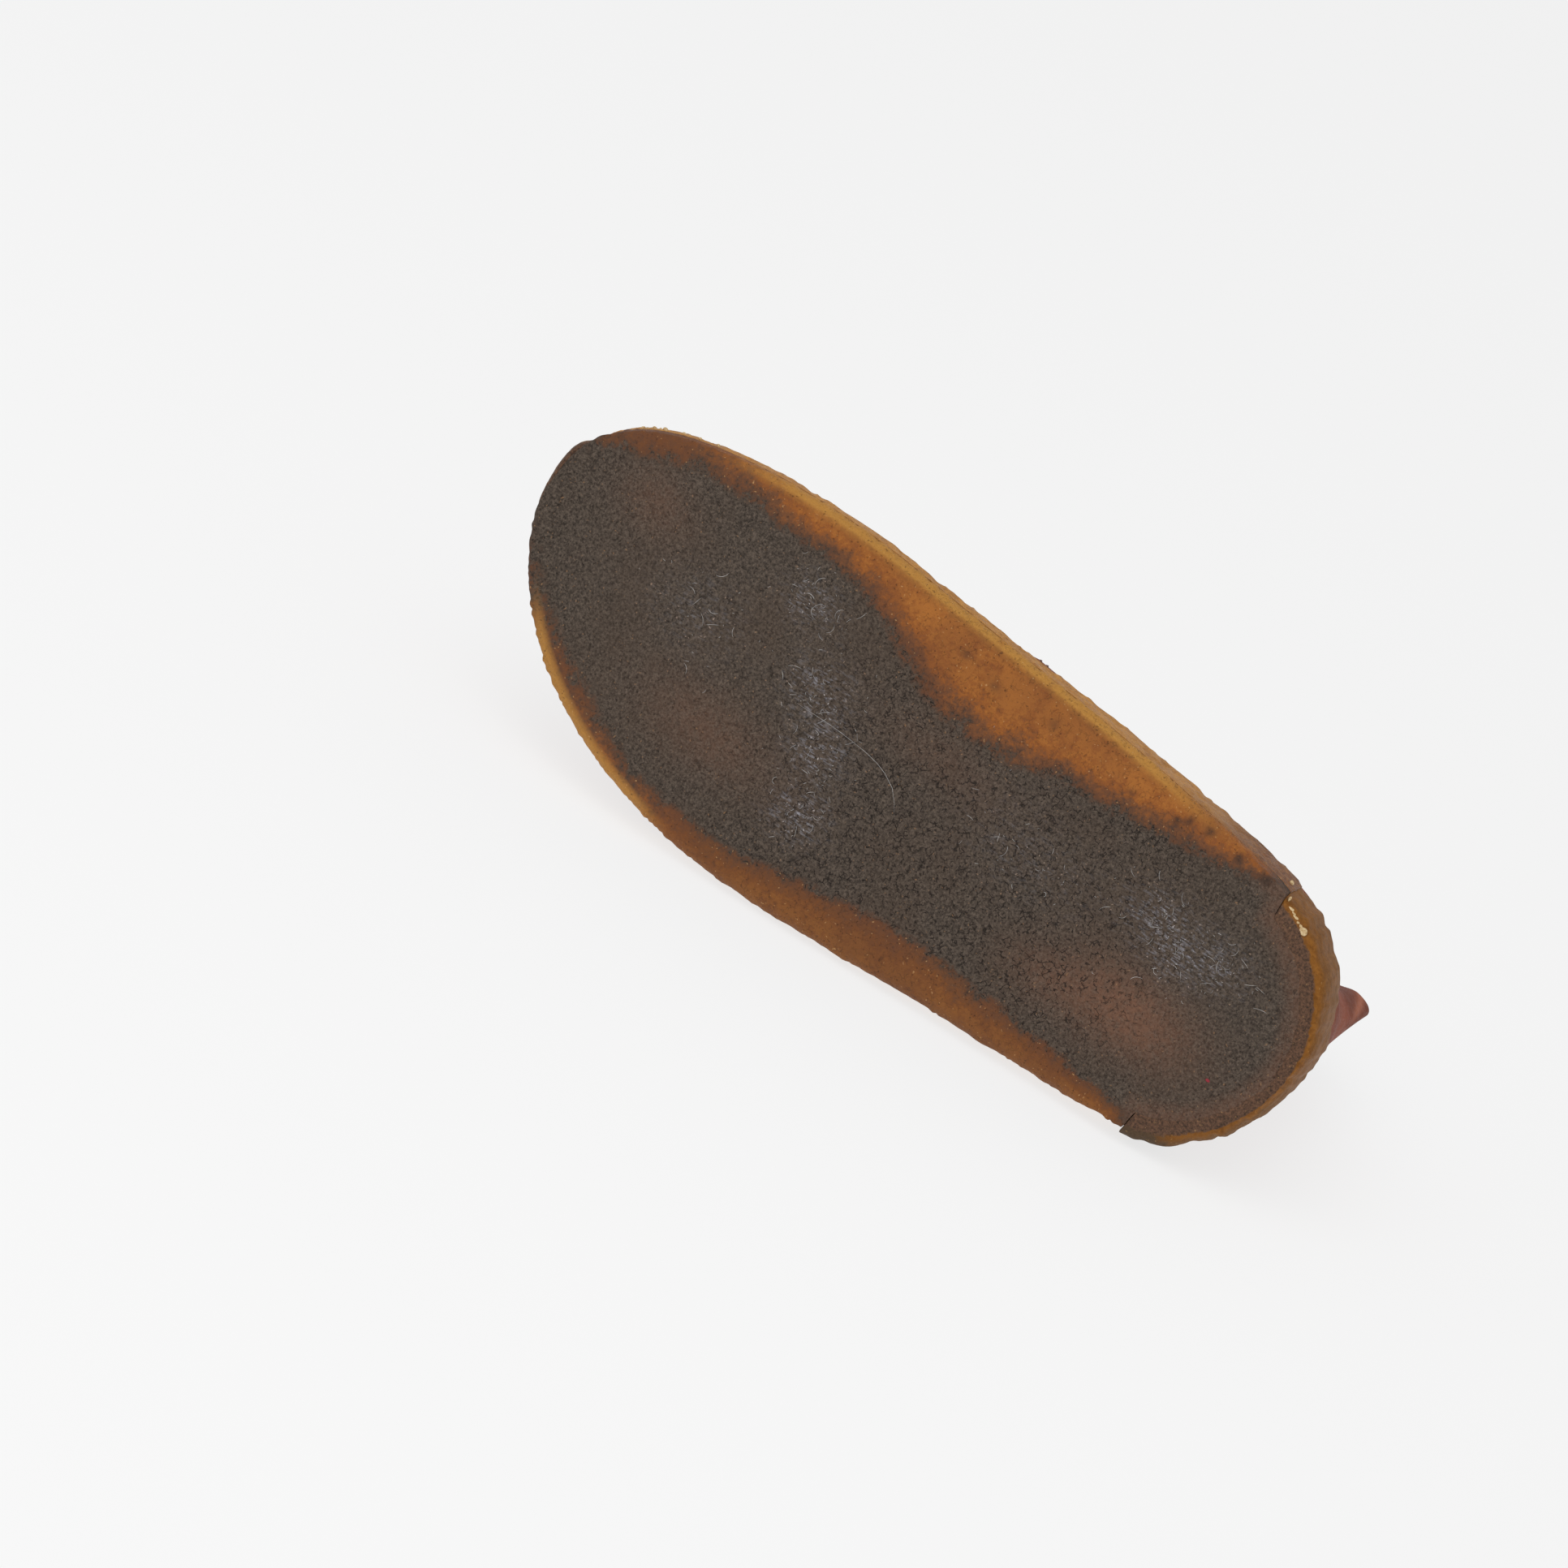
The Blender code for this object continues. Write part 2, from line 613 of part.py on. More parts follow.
def make_tongue(look):
    """Sheet under the throat, a little higher than the collar, deep enough for the lace to pass over it."""
    rows = np.concatenate([np.linspace(TONGUE_FOOT, COLLAR, 14), [9.3, 9.5]])
    half = np.interp(rows, column(TONGUE_PLAN, TONGUE_COLUMNS, "ring"),
                     column(TONGUE_PLAN, TONGUE_COLUMNS, "half_width"))
    depth = WALL + 2.0 * GAP + LACE_ROOM * step(5.4, 6.1, rows)
    places = np.linspace(-1.0, 1.0, 13)
    outer, inner = [], []
    for place in places:
        side = -1.0 if place < 0 else 1.0
        edge = place_at(np.minimum(rows, COLLAR), half, side)
        u = 1.0 - (1.0 - edge) * abs(place)
        outer.append(off_skin(u, rows, side, -depth))
        inner.append(off_skin(u, rows, side, -depth - TONGUE))
    count = len(rows)
    faces = []
    for i in range(len(places) - 1):
        for row in range(count - 1):
            faces.append((i * count + row, i * count + row + 1, (i + 1) * count + row + 1, (i + 1) * count + row))
    shell("tongue", np.concatenate(outer), np.concatenate(inner), faces, look)


def lace_run(side, stops):
    """Lace across the throat from stops of ring, distance to that side of the front line and lift."""
    points = []
    for v, half, lift in stops:
        toward = side if half >= 0.0 else -side
        points.append(off_skin(place_at(v, abs(half), toward), v, toward, lift))
    return np.array(points)


def lace_curve(name, points, look, parent):
    """Round lace through the points."""
    curve = bpy.data.curves.new(name, "CURVE")
    curve.dimensions = "3D"
    curve.bevel_depth = LACE / 2.0 * MM
    curve.bevel_resolution = 2
    curve.use_fill_caps = True
    spline = curve.splines.new("POLY")
    spline.points.add(len(points) - 1)
    for knot, point in zip(spline.points, points):
        knot.co = (*(np.asarray(point) * MM), 1.0)
    curve.materials.append(look)
    made = bpy.data.objects.new(name, curve)
    boot.objects.link(made)
    made.parent = parent
    return made


def as_mesh(lace):
    """The lace as a closed mesh object of the same name, in place of its curve."""
    name, look, parent = lace.name, lace.data.materials[0], lace.parent
    bpy.context.view_layer.update()
    graph = bpy.context.evaluated_depsgraph_get()
    mesh = bpy.data.meshes.new_from_object(lace.evaluated_get(graph))
    shape = bmesh.new()
    shape.from_mesh(mesh)
    bmesh.ops.remove_doubles(shape, verts=shape.verts, dist=1e-6)
    bmesh.ops.recalc_face_normals(shape, faces=shape.faces)
    shape.to_mesh(mesh)
    shape.free()
    bpy.data.objects.remove(lace, do_unlink=True)
    mesh.materials.clear()
    mesh.materials.append(look)
    made = bpy.data.objects.new(name, mesh)
    boot.objects.link(made)
    made.parent = parent
    return made


def make_lace_bars(look):
    """Lowest bar and the top bar under the knot, each from hole to hole over both quarters."""
    over = QUARTER + LACE / 2.0 + GAP
    for name, v in (("lace_bar_low", HOLE_ROWS[0]), ("lace_bar_top", HOLE_ROWS[-1])):
        edge = float(throat_half(v))
        hole = edge + HOLE_INSET
        halves = (hole, hole - 3.0, edge + 3.0, edge, edge / 2.0)
        stops = [(v, half, over) for half in halves] + [(v, 0.0, over - 0.6)]
        across = stops + [(v, -half, lift) for v, half, lift in stops[-2::-1]]
        lace_curve(name, lace_run(1.0, across), look, pose)


def make_lace_crosses(look):
    """Two crossings in the throat: the low one under both quarters, the high one out of its holes and under."""
    over, under = QUARTER + LACE / 2.0 + GAP, -0.6
    low, middle, high = HOLE_ROWS
    edge = float(throat_half(middle))

    def tuck(v):
        """Stop where a strand meets the edge of the far quarter."""
        return (v, LACE / 2.0 - GAP - float(throat_half(v)), under)

    start = tuck(low + 0.15)
    runs = {
        "lace_cross_low": [(start[0], -start[1], under), ((low + middle) / 2.0, 0.0, 0.0), tuck(middle - 0.12)],
        "lace_cross_high": [(middle, edge + HOLE_INSET, over), (middle + 0.1, edge + 3.5, over),
                            (middle + 0.18, edge - 1.0, over), ((middle + high) / 2.0, 0.0, 0.6),
                            tuck(high - 0.22)],
    }
    for name, stops in runs.items():
        strand = as_mesh(lace_curve(name, lace_run(1.0, stops), look, pose))
        other = as_mesh(lace_curve(name + "_other", lace_run(-1.0, stops), look, pose))
        boot.objects.unlink(other)
        cutters.objects.link(other)
        other.display_type = "WIRE"
        other.hide_render = True
        join = strand.modifiers.new("crossing", "BOOLEAN")
        join.operation = "UNION"
        join.solver = "EXACT"
        join.object = other


def knot_side(knot, way):
    """Point just off the knot in a world direction, in millimetres."""
    turn = knot.matrix_world.to_3x3()
    way = Vector(way).normalized()
    own = turn.inverted() @ way
    reach = 1.0 / math.sqrt(sum((2.0 * part / size) ** 2 for part, size in zip(own, KNOT_SIZE)))
    return np.array(knot.matrix_world.translation / MM + way * (reach + 2.0 * GAP))


def smooth_route(points):
    """Points read at an even spacing from a smooth curve through the given ones."""
    points = np.asarray(points, float)
    chord = np.linalg.norm(np.diff(points, axis=0), axis=1)
    places = np.append(0.0, np.cumsum(np.sqrt(chord)))
    fine = np.stack([through(places, points[:, axis], np.linspace(0.0, places[-1], 400)) for axis in range(3)], axis=1)
    run = np.append(0.0, np.cumsum(np.linalg.norm(np.diff(fine, axis=0), axis=1)))
    stops = np.linspace(0.0, run[-1], round(run[-1] / LACE_SPACING) + 1)
    return np.stack([np.interp(stops, run, fine[:, axis]) for axis in range(3)], axis=1)


def make_bow(look):
    """Knot over the top bar, and the loops and ends that fall from it."""
    shape = bmesh.new()
    bmesh.ops.create_uvsphere(shape, u_segments=14, v_segments=9, radius=0.5 * MM)
    mesh = bpy.data.meshes.new("lace_knot")
    shape.to_mesh(mesh)
    shape.free()
    mesh.transform(Matrix.Diagonal((*KNOT_SIZE, 1.0)))
    mesh.shade_smooth()
    mesh.materials.append(look)
    knot = bpy.data.objects.new("lace_knot", mesh)
    boot.objects.link(knot)
    knot.parent = pose
    lift = QUARTER + LACE + 2.0 * GAP + KNOT_SIZE[2] / 2.0
    knot.matrix_local = on_skin(1.0, HOLE_ROWS[-1], 1.0, lift - 0.6)
    bpy.context.view_layer.update()
    for name, (leaves, passes, returns) in BOW.items():
        route = [knot_side(knot, leaves), *passes]
        if returns:
            route.append(knot_side(knot, returns))
        lace_curve(name, smooth_route(route), look, None)


def lay_down():
    """Lying pose: the lowest point on the floor, the box of the boot without its lace over the origin."""
    turn = lying_matrix()
    solids = [made for made in boot.objects if made.type == "MESH" and not made.name.startswith("lace")]
    points = np.concatenate([np.array([corner.co for corner in made.data.vertices]) for made in solids])
    points = points @ np.array(turn.to_3x3()).T
    low, high = points.min(axis=0), points.max(axis=0)
    pose.matrix_world = Matrix.Translation((-(low[0] + high[0]) / 2.0, -(low[1] + high[1]) / 2.0, -low[2])) @ turn


for old in list(bpy.data.objects):
    bpy.data.objects.remove(old, do_unlink=True)
boot = bpy.data.collections.new("crepe_sole_boot")
cutters = bpy.data.collections.new("cutters")
bpy.context.scene.collection.children.link(boot)
bpy.context.scene.collection.children.link(cutters)
cutters.hide_render = True
pose = bpy.data.objects.new("lying_pose", None)
boot.objects.link(pose)

worn_crepe = material("worn_crepe", (0.08, 0.055, 0.04), 0.9)
raw_crepe = material("raw_crepe", (0.42, 0.23, 0.06), 0.8)
strip_crepe = material("strip_crepe", (0.4, 0.23, 0.07), 0.85)
brown_leather = material("brown_leather", (0.19, 0.035, 0.022), 0.42)
tongue_leather = material("tongue_leather", (0.15, 0.03, 0.02), 0.5)
insole_leather = material("insole_leather", (0.35, 0.2, 0.1), 0.7)
lace_leather = material("lace_leather", (0.12, 0.04, 0.025), 0.6)

make_outsole(worn_crepe)
make_midsole(raw_crepe)
make_heel_wrap(strip_crepe)
make_toe_bumper(strip_crepe)
make_insole(insole_leather)
make_upper(brown_leather)
make_tongue(tongue_leather)
lay_down()
make_lace_bars(lace_leather)
make_lace_crosses(lace_leather)
make_bow(lace_leather)
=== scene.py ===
# %% [markdown]
# # A worn right boot on a crepe sole
# The boot lies on its outer side and shows its tread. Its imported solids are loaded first, as a frame that
# never moves. Each solid is then dressed with a finer surface in the same place, so that the boot holds up
# from any side.

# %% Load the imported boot
import math

import bmesh
import bpy
import numpy as np
from mathutils import Matrix


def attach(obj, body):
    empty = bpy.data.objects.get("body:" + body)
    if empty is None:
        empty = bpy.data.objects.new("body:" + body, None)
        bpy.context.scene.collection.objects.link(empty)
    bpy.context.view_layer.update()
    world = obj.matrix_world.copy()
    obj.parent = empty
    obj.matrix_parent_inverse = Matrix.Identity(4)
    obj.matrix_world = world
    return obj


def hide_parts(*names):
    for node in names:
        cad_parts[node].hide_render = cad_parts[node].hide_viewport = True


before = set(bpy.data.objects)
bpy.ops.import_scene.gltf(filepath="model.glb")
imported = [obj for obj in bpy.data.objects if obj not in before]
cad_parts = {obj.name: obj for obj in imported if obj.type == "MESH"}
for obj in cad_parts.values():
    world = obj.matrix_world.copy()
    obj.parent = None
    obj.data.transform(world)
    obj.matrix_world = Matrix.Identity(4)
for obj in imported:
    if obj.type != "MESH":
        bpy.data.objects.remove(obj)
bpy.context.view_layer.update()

# %% [markdown]
# ## The lying pose and the camera
# The boot was worked out standing, in millimetres: x from heel to toe, y to the inner side, z up. One turn
# and one shift lay it down. Keeping that turn as a matrix lets every surface be written for the standing
# boot, which is far easier to think about, and laid down at the end.

# %% Lying pose
MM = 0.001
LEAN = math.radians(9.2)
NOSE_UP = math.radians(4.9)
PLACE = np.array((152.968, -65.149, 45.369))
LAY = np.array(((-1.0, 0.0, 0.0), (0.0, 0.0, 1.0), (0.0, 1.0, 0.0)))


def turn(axis, angle):
    """Rotation about one axis: cosine and sine of the angle on the other two."""
    made = np.eye(3)
    a, b = (axis + 1) % 3, (axis + 2) % 3
    made[a, a] = made[b, b] = math.cos(angle)
    made[a, b], made[b, a] = -math.sin(angle), math.sin(angle)
    return made


POSE = turn(0, -LEAN) @ turn(1, NOSE_UP) @ LAY


def lying(points):
    """Standing millimetres to lying metres: turned by the pose, moved to its place and scaled."""
    return (np.asarray(points, float) @ POSE.T + PLACE) * MM


print("heel corner lies at", lying((0.0, 0.0, 0.0)).round(4))

# %% [markdown]
# The camera looks at the tread a little from the heel and from the inner side, and is rolled so that the
# boot runs across the frame from toe to heel. A long lens keeps the sole's proportions.

# %% Camera
VIEW = np.array((-0.171, 0.235))
ROLL = math.radians(37.0)
PIXEL = 0.00025
HEEL_MARK, HEEL_IN_FRAME = (42.7, 2.0, 0.0), (504.0, 269.0)
LENS, SENSOR, HALF_FRAME = 200.0, 36.0, 966.0

toward = POSE @ np.append(VIEW, -math.sqrt(1.0 - VIEW @ VIEW))
heelward = POSE @ np.array((-1.0, 0.0, 0.0))
flat = heelward - toward * (heelward @ toward)
flat /= np.linalg.norm(flat)
view_right = flat * math.cos(ROLL) + np.cross(toward, flat) * math.sin(ROLL)
view_up = np.cross(toward, view_right)
target = lying(HEEL_MARK) + (view_up * HEEL_IN_FRAME[1] - view_right * HEEL_IN_FRAME[0]) * PIXEL
distance = HALF_FRAME * PIXEL / (SENSOR / 2.0 / LENS)


def put_in_scene(name, data, axes=None, place=None):
    """New object in the scene, turned to three axes and moved to a place where they are given."""
    made = bpy.data.objects.new(name, data)
    bpy.context.scene.collection.objects.link(made)
    if axes is not None:
        facing = np.eye(4)
        facing[:3, :3] = np.stack(axes, axis=1)
        facing[:3, 3] = place
        made.matrix_world = Matrix(facing.tolist())
    return made


lens = bpy.data.cameras.new("camera")
lens.lens, lens.sensor_width = LENS, SENSOR
camera = put_in_scene("camera", lens, (view_right, view_up, toward), target + toward * distance)
bpy.context.scene.camera = camera
print("camera at", (target + toward * distance).round(3), "distance", round(distance, 3))

# %% [markdown]
# ## Helpers for meshes
# Every new piece is a grid of points worked out with numpy. These helpers turn grids into faces, weld the
# rows that close to a point, and put the result into an object that sits at the origin.

# %% Mesh helpers
WELD = 2e-6


def grid_faces(rows, columns, closed=False):
    """Quads between neighbours of a grid kept row by row; closed joins the last column to the first."""
    i = np.arange(rows - 1)[:, None] * columns
    j = np.arange(columns if closed else columns - 1)[None, :]
    k = (j + 1) % columns
    return np.stack([i + j, i + k, i + columns + k, i + columns + j], axis=-1).reshape(-1, 4)


def joined(grids):
    """Points and faces of several closed grids, one after another as one mesh."""
    starts = np.cumsum([0] + [grid[..., 0].size for grid in grids])
    faces = [grid_faces(*grid.shape[:2], closed=True) + start for grid, start in zip(grids, starts)]
    return np.concatenate([grid.reshape(-1, 3) for grid in grids]), np.concatenate(faces)


def add_piece(name, points, faces, looks, replaced=(), marks=None, kinds=None):
    """One mesh object that rides on the boot. Points are metres; marks are named values on the points."""
    mesh = bpy.data.meshes.new(name)
    mesh.vertices.add(len(points))
    mesh.vertices.foreach_set("co", points.ravel())
    mesh.loops.add(faces.size)
    mesh.loops.foreach_set("vertex_index", faces.ravel())
    mesh.polygons.add(len(faces))
    mesh.polygons.foreach_set("loop_start", np.arange(len(faces)) * faces.shape[1])
    for look in looks:
        mesh.materials.append(look)
    if kinds is not None:
        mesh.polygons.foreach_set("material_index", kinds)
    for label, values in (marks or {}).items():
        mesh.attributes.new(label, "FLOAT", "POINT").data.foreach_set("value", np.ravel(values))
    mesh.update(calc_edges=True)
    shape = bmesh.new()
    shape.from_mesh(mesh)
    bmesh.ops.remove_doubles(shape, verts=shape.verts, dist=WELD)
    bmesh.ops.dissolve_degenerate(shape, edges=shape.edges, dist=WELD)
    bmesh.ops.recalc_face_normals(shape, faces=shape.faces)
    shape.to_mesh(mesh)
    shape.free()
    mesh.shade_smooth()
    piece = put_in_scene(name, mesh)
    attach(piece, "root")
    if replaced:
        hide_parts(*replaced)
    mesh.calc_loop_triangles()
    print(name, "triangles:", len(mesh.loop_triangles))
    return piece


def add_grid(name, points, look, node_name, marks=None):
    """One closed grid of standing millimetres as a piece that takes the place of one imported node."""
    faces = grid_faces(*points.shape[:2], closed=True)
    return add_piece(name, lying(points).reshape(-1, 3), faces, [look], [node_name], marks)


# %% [markdown]
# The surfaces share a few curves: a smooth ramp, a bell, a ramp up and down again, a curve through given
# values and soft lumps, which stand for everything that is slightly uneven on a worn thing.

# %% Curves
LATTICE = 32


def lumps(points, size, seed):
    """Soft noise from -1 to 1: random numbers on a cubic lattice, blended smoothly between eight corners."""
    cells = np.random.default_rng(seed).uniform(-1.0, 1.0, (LATTICE, LATTICE, LATTICE))
    place = np.asarray(points, float) / size
    low = np.floor(place).astype(int)
    t = place - low
    t = t * t * (3.0 - 2.0 * t)
    total = np.zeros(place.shape[:-1])
    for corner in np.ndindex(2, 2, 2):
        at = (low + corner) % LATTICE
        total += cells[at[..., 0], at[..., 1], at[..., 2]] * np.prod(np.where(corner, t, 1.0 - t), axis=-1)
    return total


def through(places, values, at):
    """Smooth curve through given values: cubic pieces whose slopes are those of the neighbours' chords."""
    places, values = np.asarray(places, float), np.asarray(values, float)
    slopes = np.gradient(values, places)
    at = np.clip(at, places[0], places[-1])
    i = np.clip(np.searchsorted(places, at, side="right") - 1, 0, len(places) - 2)
    width = places[i + 1] - places[i]
    t = (at - places[i]) / width
    rise = values[i + 1] - values[i]
    a, b = slopes[i] * width - rise, rise - slopes[i + 1] * width
    return values[i] + t * rise + t * (1.0 - t) * ((1.0 - t) * a + t * b)


def step(low, high, at):
    """Smooth rise from 0 at low to 1 at high."""
    t = np.clip((np.asarray(at, float) - low) / (high - low), 0.0, 1.0)
    return t * t * (3.0 - 2.0 * t)


def span(at, low, full, fading, gone):
    """Smooth rise from 0 at low to 1 at full, and back from 1 at fading to 0 at gone."""
    return step(low, full, at) * (1.0 - step(fading, gone, at))


def bell(at, middle, reach):
    """Bell curve: 1 at its middle and about a third at its reach."""
    return np.exp(-((at - middle) / reach) ** 2)


def unit(vectors):
    """Vectors made one long."""
    return vectors / np.maximum(np.linalg.norm(vectors, axis=-1, keepdims=True), 1e-9)


def run_along(points):
    """Distance run along a line of points, from 0 at the first."""
    return np.append(0.0, np.cumsum(np.linalg.norm(np.diff(points, axis=0), axis=1)))


def read_off(stops, run, values):
    """Each column of values, read at stops along a run."""
    return np.stack([np.interp(stops, run, column) for column in values.T], axis=1)


def swept(spine, across, third, radius, angle):
    """Rings round a spine: the radius times the angle's cosine on one direction and its sine on the other."""
    return spine[..., None, :] + across[..., None, :] * (radius * np.cos(angle))[..., None] \
        + third[..., None, :] * (radius * np.sin(angle))[..., None]


# %% [markdown]
# ## Helpers for materials
# A material here is a small tree of nodes. The tree being built lies on a bench, so that the helpers know
# where a new node belongs. Colours are written as they would be picked on a screen and turned to linear
# light. An effect that several finishes share becomes a node group that puts out plain values.

# %% Material helpers


class Bench:
    """The material and node tree being built, and the piece's own coordinates in it."""

    look = tree = where = None


def tint(red, green, blue):
    """Screen colour from 0 to 255 as linear light with full alpha."""
    share = np.array((red, green, blue)) / 255.0
    light = np.where(share <= 0.04045, share / 12.92, ((share + 0.055) / 1.055) ** 2.4)
    return (*light.tolist(), 1.0)


def node(kind, inputs=None, **settings):
    """New node with its settings; an input is a number, a colour or the socket that feeds it."""
    made = Bench.tree.nodes.new("ShaderNode" + kind)
    for key, value in settings.items():
        setattr(made, key, value)
    for key, value in (inputs or {}).items():
        if isinstance(value, bpy.types.NodeSocket):
            Bench.tree.links.new(value, made.inputs[key])
        else:
            made.inputs[key].default_value = value
    return made


def maths(operation, *values, clamp=False):
    """Result of one Math node."""
    return node("Math", dict(enumerate(values)), operation=operation, use_clamp=clamp).outputs[0]


def times(first, *others):
    """Product of two or more values."""
    for other in others:
        first = maths("MULTIPLY", first, other)
    return first


def scaled(value, factor, offset, clamp=False):
    """A value times a factor, plus an offset."""
    return maths("MULTIPLY_ADD", value, factor, offset, clamp=clamp)


def between(value, low, high):
    """A value's place between two limits, from 0 to 1."""
    return node("MapRange", {"Value": value, "From Min": low, "From Max": high}).outputs[0]


def share_of(value, low, high, most):
    """A value's place between two limits, scaled to the most that it may count."""
    return times(between(value, low, high), most)


def mix(share, first, second):
    """Two colours mixed by a share; a colour is a socket or three screen values."""
    first, second = (tint(*colour) if isinstance(colour, tuple) else colour for colour in (first, second))
    return node("Mix", {0: share, 6: first, 7: second}, data_type="RGBA").outputs[2]


def layered(colour, *coats):
    """A colour with coats laid over it one by one, each a share and a colour."""
    for share, coat in coats:
        colour = mix(share, colour, coat)
    return colour


def noise(scale, detail=2.0, roughness=0.5, where=None):
    """Soft noise from 0 to 1."""
    inputs = {"Vector": where or Bench.where, "Scale": scale, "Detail": detail, "Roughness": roughness}
    return node("TexNoise", inputs).outputs["Fac"]


def mark(name):
    """Value that was put on the points of the piece."""
    return node("Attribute", attribute_name=name).outputs["Fac"]


def start_group(name, **inputs):
    """Empty node group on the bench, with named inputs of the given kinds."""
    Bench.tree = bpy.data.node_groups.new(name, "ShaderNodeTree")
    for label, kind in inputs.items():
        Bench.tree.interface.new_socket(label, in_out="INPUT", socket_type="NodeSocket" + kind)
    return Bench.tree.nodes.new("NodeGroupInput").outputs


def end_group(**values):
    """Named outputs of the group on the bench, each fed by a value."""
    for label in values:
        Bench.tree.interface.new_socket(label, in_out="OUTPUT", socket_type="NodeSocketFloat")
    ends = Bench.tree.nodes.new("NodeGroupOutput").inputs
    for label, value in values.items():
        Bench.tree.links.new(value, ends[label])
    print("group:", Bench.tree.name, list(values))


def use_group(name, **inputs):
    """One use of a node group at the piece's own coordinates."""
    return node("Group", {"Vector": Bench.where, **inputs}, node_tree=bpy.data.node_groups[name]).outputs


def start_look(name):
    """Empty material on the bench."""
    Bench.look = bpy.data.materials.new(name)
    Bench.look.use_nodes = True
    Bench.tree = Bench.look.node_tree
    Bench.where = node("TexCoord").outputs["Object"]


def finish_look(colour, roughness, height, depth, specular=None):
    """Colour, roughness and a bump of the given depth in metres put on the shader of the material."""
    shader = Bench.tree.nodes["Principled BSDF"].inputs
    bump = node("Bump", {"Height": height, "Strength": 1.0, "Distance": depth}).outputs[0]
    for key, value in (("Base Color", colour), ("Roughness", roughness), ("Normal", bump)):
        Bench.tree.links.new(value, shader[key])
    if specular is not None:
        shader["Specular IOR Level"].default_value = specular
    print("finish:", Bench.look.name)
    return Bench.look


# %% [markdown]
# ## Leather grain
# Leather shows a fine pebble, larger creases of the hide and slow blotches of colour. All three come from
# one group, so that the upper, the tongue, the sock and the lace are plainly the same sort of stuff.

# %% Leather grain group
LEATHER_WARP = (1.6, 1.6, 1.6)
given = start_group("leather_grain", Vector="Vector", Scale="Float")
placed = node("VectorMath", {0: given["Vector"], "Scale": given["Scale"]}, operation="SCALE").outputs[0]
warp = node("TexNoise", {"Vector": placed, "Scale": 0.25, "Detail": 2.0}).outputs["Color"]
bent = node("VectorMath", {0: warp, 1: LEATHER_WARP, 2: placed}, operation="MULTIPLY_ADD").outputs[0]
cells = node("TexVoronoi", {"Vector": bent, "Scale": 1.0}, feature="DISTANCE_TO_EDGE").outputs["Distance"]
end_group(
    Pebble=maths("ADD", between(cells, 0.0, 0.35), times(noise(3.4, 3.0, 0.6, placed), 0.5)),
    Wrinkle=noise(0.35, 4.0, 0.6, bent),
    Mottle=noise(0.05, 3.0, 0.55, placed),
)


def plain_leather(name, scale, dark, light, rough, depth, pebble=None):
    """Leather mottled in two colours. Its bump is the pebble, or a share of the pebble on the wrinkles."""
    start_look(name)
    grain = use_group("leather_grain", Scale=scale)
    colour = mix(between(grain["Mottle"], 0.3, 0.7), dark, light)
    height = scaled(grain["Pebble"], pebble, grain["Wrinkle"]) if pebble else grain["Pebble"]
    return finish_look(colour, scaled(grain["Wrinkle"], *rough), height, depth)


# %% Lace leather
start_look("lace_leather")
grain = use_group("leather_grain", Scale=1500.0)
frayed = share_of(noise(420.0, 3.0, 0.6), 0.55, 0.75, 0.5)
colour = mix(between(grain["Mottle"], 0.35, 0.65), (62, 34, 24), (92, 55, 38))
colour = mix(frayed, colour, (120, 80, 56))
lace_look = finish_look(colour, between(grain["Wrinkle"], -0.9, 1.1), grain["Pebble"], 0.00012, specular=0.35)

# %% [markdown]
# ## The lace's loose strands
# A leather lace is limp. From its knot at the top of the throat two loops and two ends hang over the front
# of the boot and lie on the floor. Each strand is one smooth route through a few points, and a rounded
# square section is carried along it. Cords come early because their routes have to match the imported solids.

# %% Lace strands
LACE, GAP, STATION = 3.6, 0.3, 0.9
SIDES, SQUARENESS = 14, 3.0
KNOT_AT = np.array((10.636, 63.39, 40.655))
KNOT_SIZE = np.array((9.0, 13.0, 8.5))
KNOT_AXES = np.array(
    ((0.08556, 0.159295, 0.983516), (0.380225, 0.907207, -0.180013), (-0.920928, 0.389359, 0.017053))
)
KNOT_BITE = 2.0
# Each strand: the direction in which it leaves the knot, the points that it passes, and that of its return.
STRANDS = {
    "lace_loop_inner": (
        (-0.90, -0.30, 0.30),
        ((-10.0, 57.5, 44.0), (-20.0, 56.5, 34.0), (-25.5, 58.0, 17.0), (-32.0, 61.5, 4.4),
         (-44.0, 64.5, 2.4), (-57.5, 61.5, 2.3), (-57.5, 49.5, 2.3), (-43.0, 46.0, 3.0),
         (-32.5, 46.0, 15.0), (-24.0, 48.0, 29.0), (-9.0, 52.5, 36.0)),
        (-0.80, -0.55, -0.30),
    ),
    "lace_end_inner": (
        (-0.75, 0.60, 0.05),
        ((-6.0, 74.0, 33.0), (-17.0, 81.0, 16.5), (-25.0, 86.0, 4.8), (-38.0, 92.0, 2.2), (-62.0, 97.0, 2.2)),
        None,
    ),
    "lace_loop_outer": (
        (-0.45, 0.75, -0.50),
        ((0.5, 80.0, 24.0), (-5.0, 91.0, 8.8), (-10.5, 101.0, 2.6), (-17.0, 114.0, 2.4), (-15.0, 127.0, 2.3),
         (-3.0, 127.5, 2.3), (1.5, 114.0, 2.3), (4.5, 100.5, 3.4), (7.0, 88.0, 17.0)),
        (-0.05, 0.75, -0.66),
    ),
    "lace_end_outer": (
        (0.55, 0.80, -0.15),
        ((20.0, 80.0, 30.0), (24.0, 90.0, 12.6), (28.0, 99.0, 3.6), (34.0, 112.0, 2.2), (44.0, 126.0, 2.2)),
        None,
    ),
}


def knot_side(way):
    """Point where a direction leaves the knot: its reach on the ellipsoid, less a hidden bite."""
    way = unit(np.array(way))
    reach = 1.0 / np.linalg.norm(2.0 * (KNOT_AXES @ way) / KNOT_SIZE)
    return KNOT_AT + way * (reach - KNOT_BITE)


